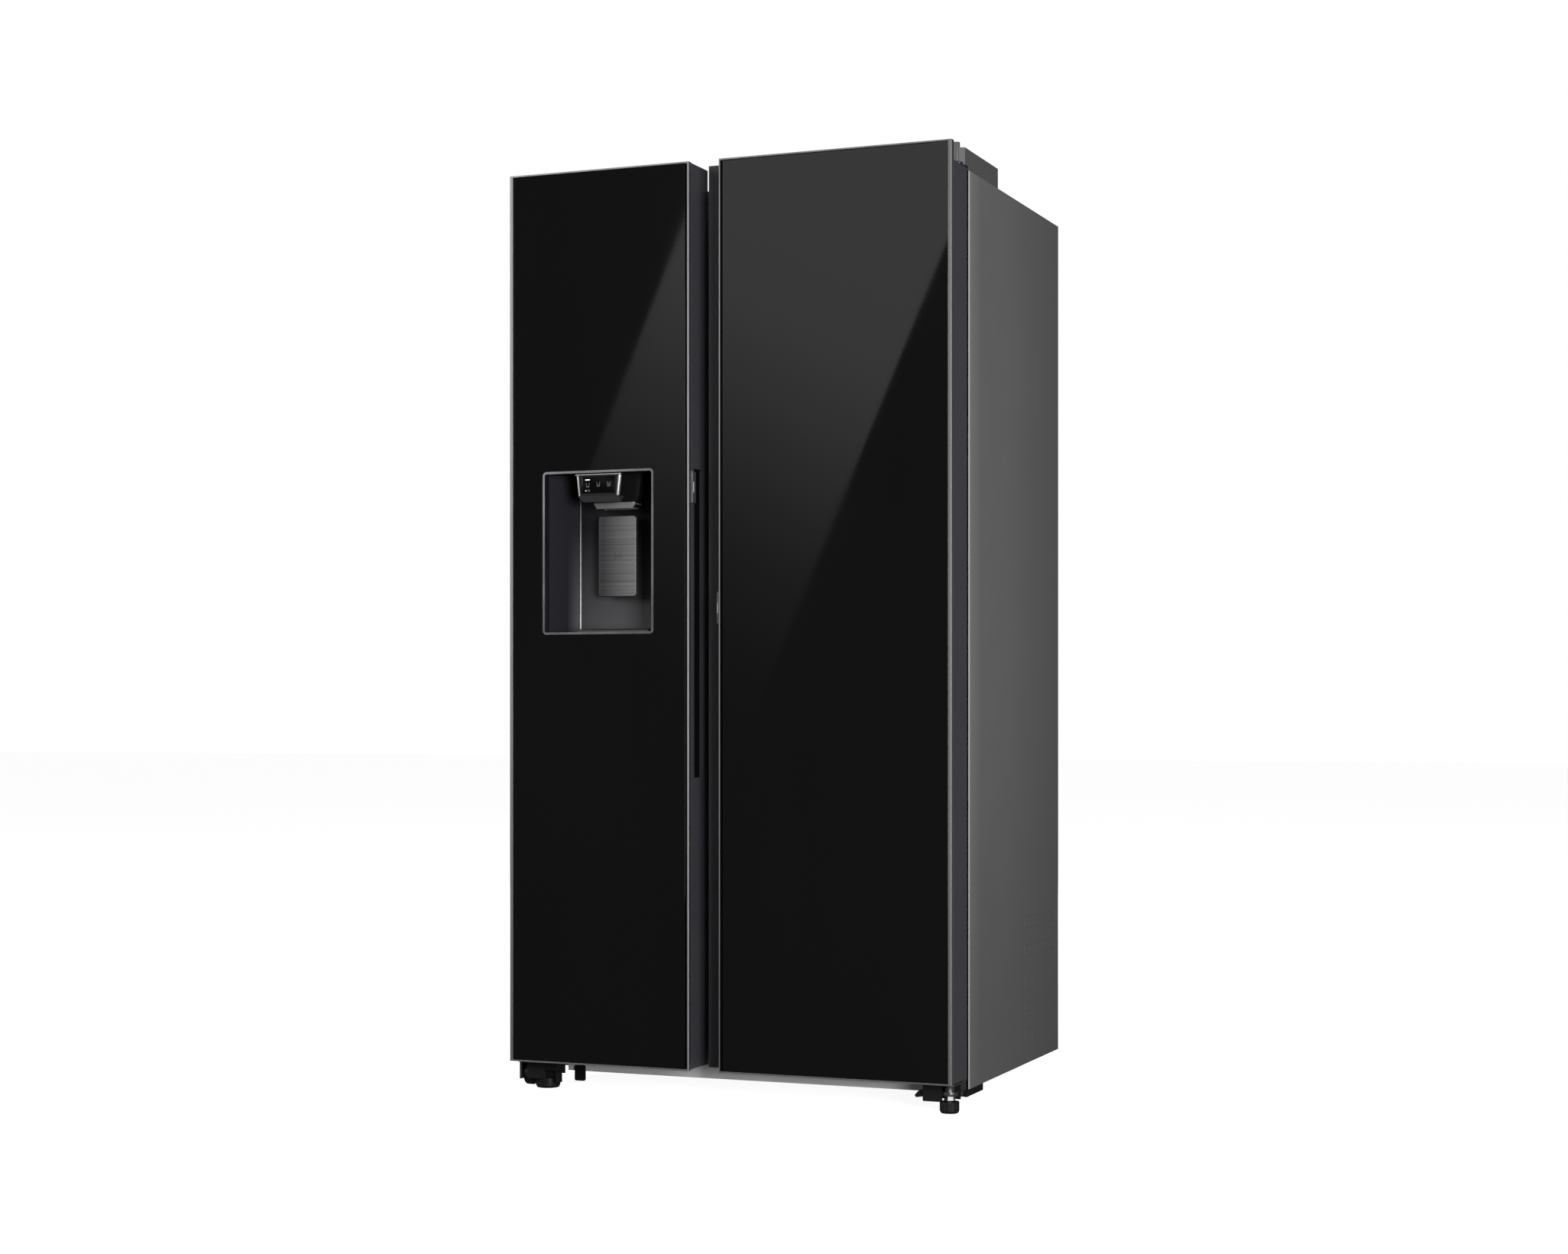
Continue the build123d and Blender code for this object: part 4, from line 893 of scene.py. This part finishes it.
def floor_material():
    """Pale floor that glows almost white."""
    look = Nodes("pale_floor")
    cloud = look.noise(0.8, 3.0)
    look.link(look.blend(look.ramp(cloud, 0, 1), (0.90, 0.90, 0.90), (0.93, 0.93, 0.93)), "Base Color")
    look.link(look.ramp(cloud, 0.75, 0.85), "Roughness")
    look.shader.inputs["Specular IOR Level"].default_value = 0.1
    look.shader.inputs["Emission Color"].default_value = (1, 1, 1, 1)
    look.shader.inputs["Emission Strength"].default_value = 0.90
    return look.material


def card_material():
    """Light that changes along the card's slanted scale."""
    look = Nodes("soft_card")
    start, end = CARD_LEVELS[0][0], CARD_LEVELS[-1][0]
    slant = look.total(look.coordinate("Z"), look.coordinate("X"), CARD_SLANT)
    ramp = look.add("ShaderNodeValToRGB", Fac=look.ramp(slant, 0.0, 1.0, start, end))
    stops = ramp.color_ramp.elements
    while len(stops) < len(CARD_LEVELS):
        stops.new(0.5)
    for stop, (place, _) in zip(stops, CARD_LEVELS):
        stop.position = (place - start) / (end - start)
    for stop, (_, level) in zip(stops, CARD_LEVELS):
        stop.color = (level + ROOM_GLOW,) * 3 + (1,)
    light = look.add("ShaderNodeEmission", Color=ramp.outputs["Color"])
    look.tree.links.new(light.outputs[0], look.tree.nodes["Material Output"].inputs["Surface"])
    look.tree.nodes.remove(look.shader)
    return look.material


def add_floor():
    """Floor that is lit but casts no light of its own on the part."""
    size = 30.0
    corners = [(-size, -size, 0), (size, -size, 0), (size, size, 0), (-size, size, 0)]
    floor = add_flat("floor", corners, floor_material())
    floor.visible_glossy = False


def add_soft_card():
    """Slanted light card that the door glass mirrors, fading towards its foot."""
    low, high = CARD_HEIGHTS
    corners = []
    for (start, slope), z in ((CARD_LEFT, low), (CARD_RIGHT, low), (CARD_RIGHT, high), (CARD_LEFT, high)):
        corners.append((start + slope * z, CAMERA[1], z))
    card = add_flat("soft_card", corners, card_material())
    card.visible_camera = False
    card.visible_shadow = False


def build_stage():
    add_camera()
    add_world()
    add_floor()
    add_soft_card()
    add_area("key", (3.1, -3.5, 1.15), (0.3, 0.0, 0.95), (1.5, 2.2), 185)
    add_area("left_fill", (-4.4, -3.6, 2.8), (0.0, 0.0, 0.9), (2.2, 2.6), 170)
    add_area("top", (0.0, -0.4, 4.6), (0.0, 0.0, 0.0), (3.0, 3.0), 60, glossy=False)
    add_area("back", (-0.6, 5.2, 2.6), (0.0, 0.3, 0.9), (2.6, 2.2), 190, glossy=False)
    bpy.context.scene.view_settings.view_transform = "Standard"


# ---------------------------------------------------------------- making

build_stage()
dress_nodes()
for door_side in ("left", "right"):
    door_seal(door_side)
    pad_light(door_side)
pad_nose()
control_window()
control_state_bar()
control_symbols()
control_cheeks()
recess_bead()
spout_lip()
drip_grille()
paddle_symbol()

bpy.context.view_layer.update()
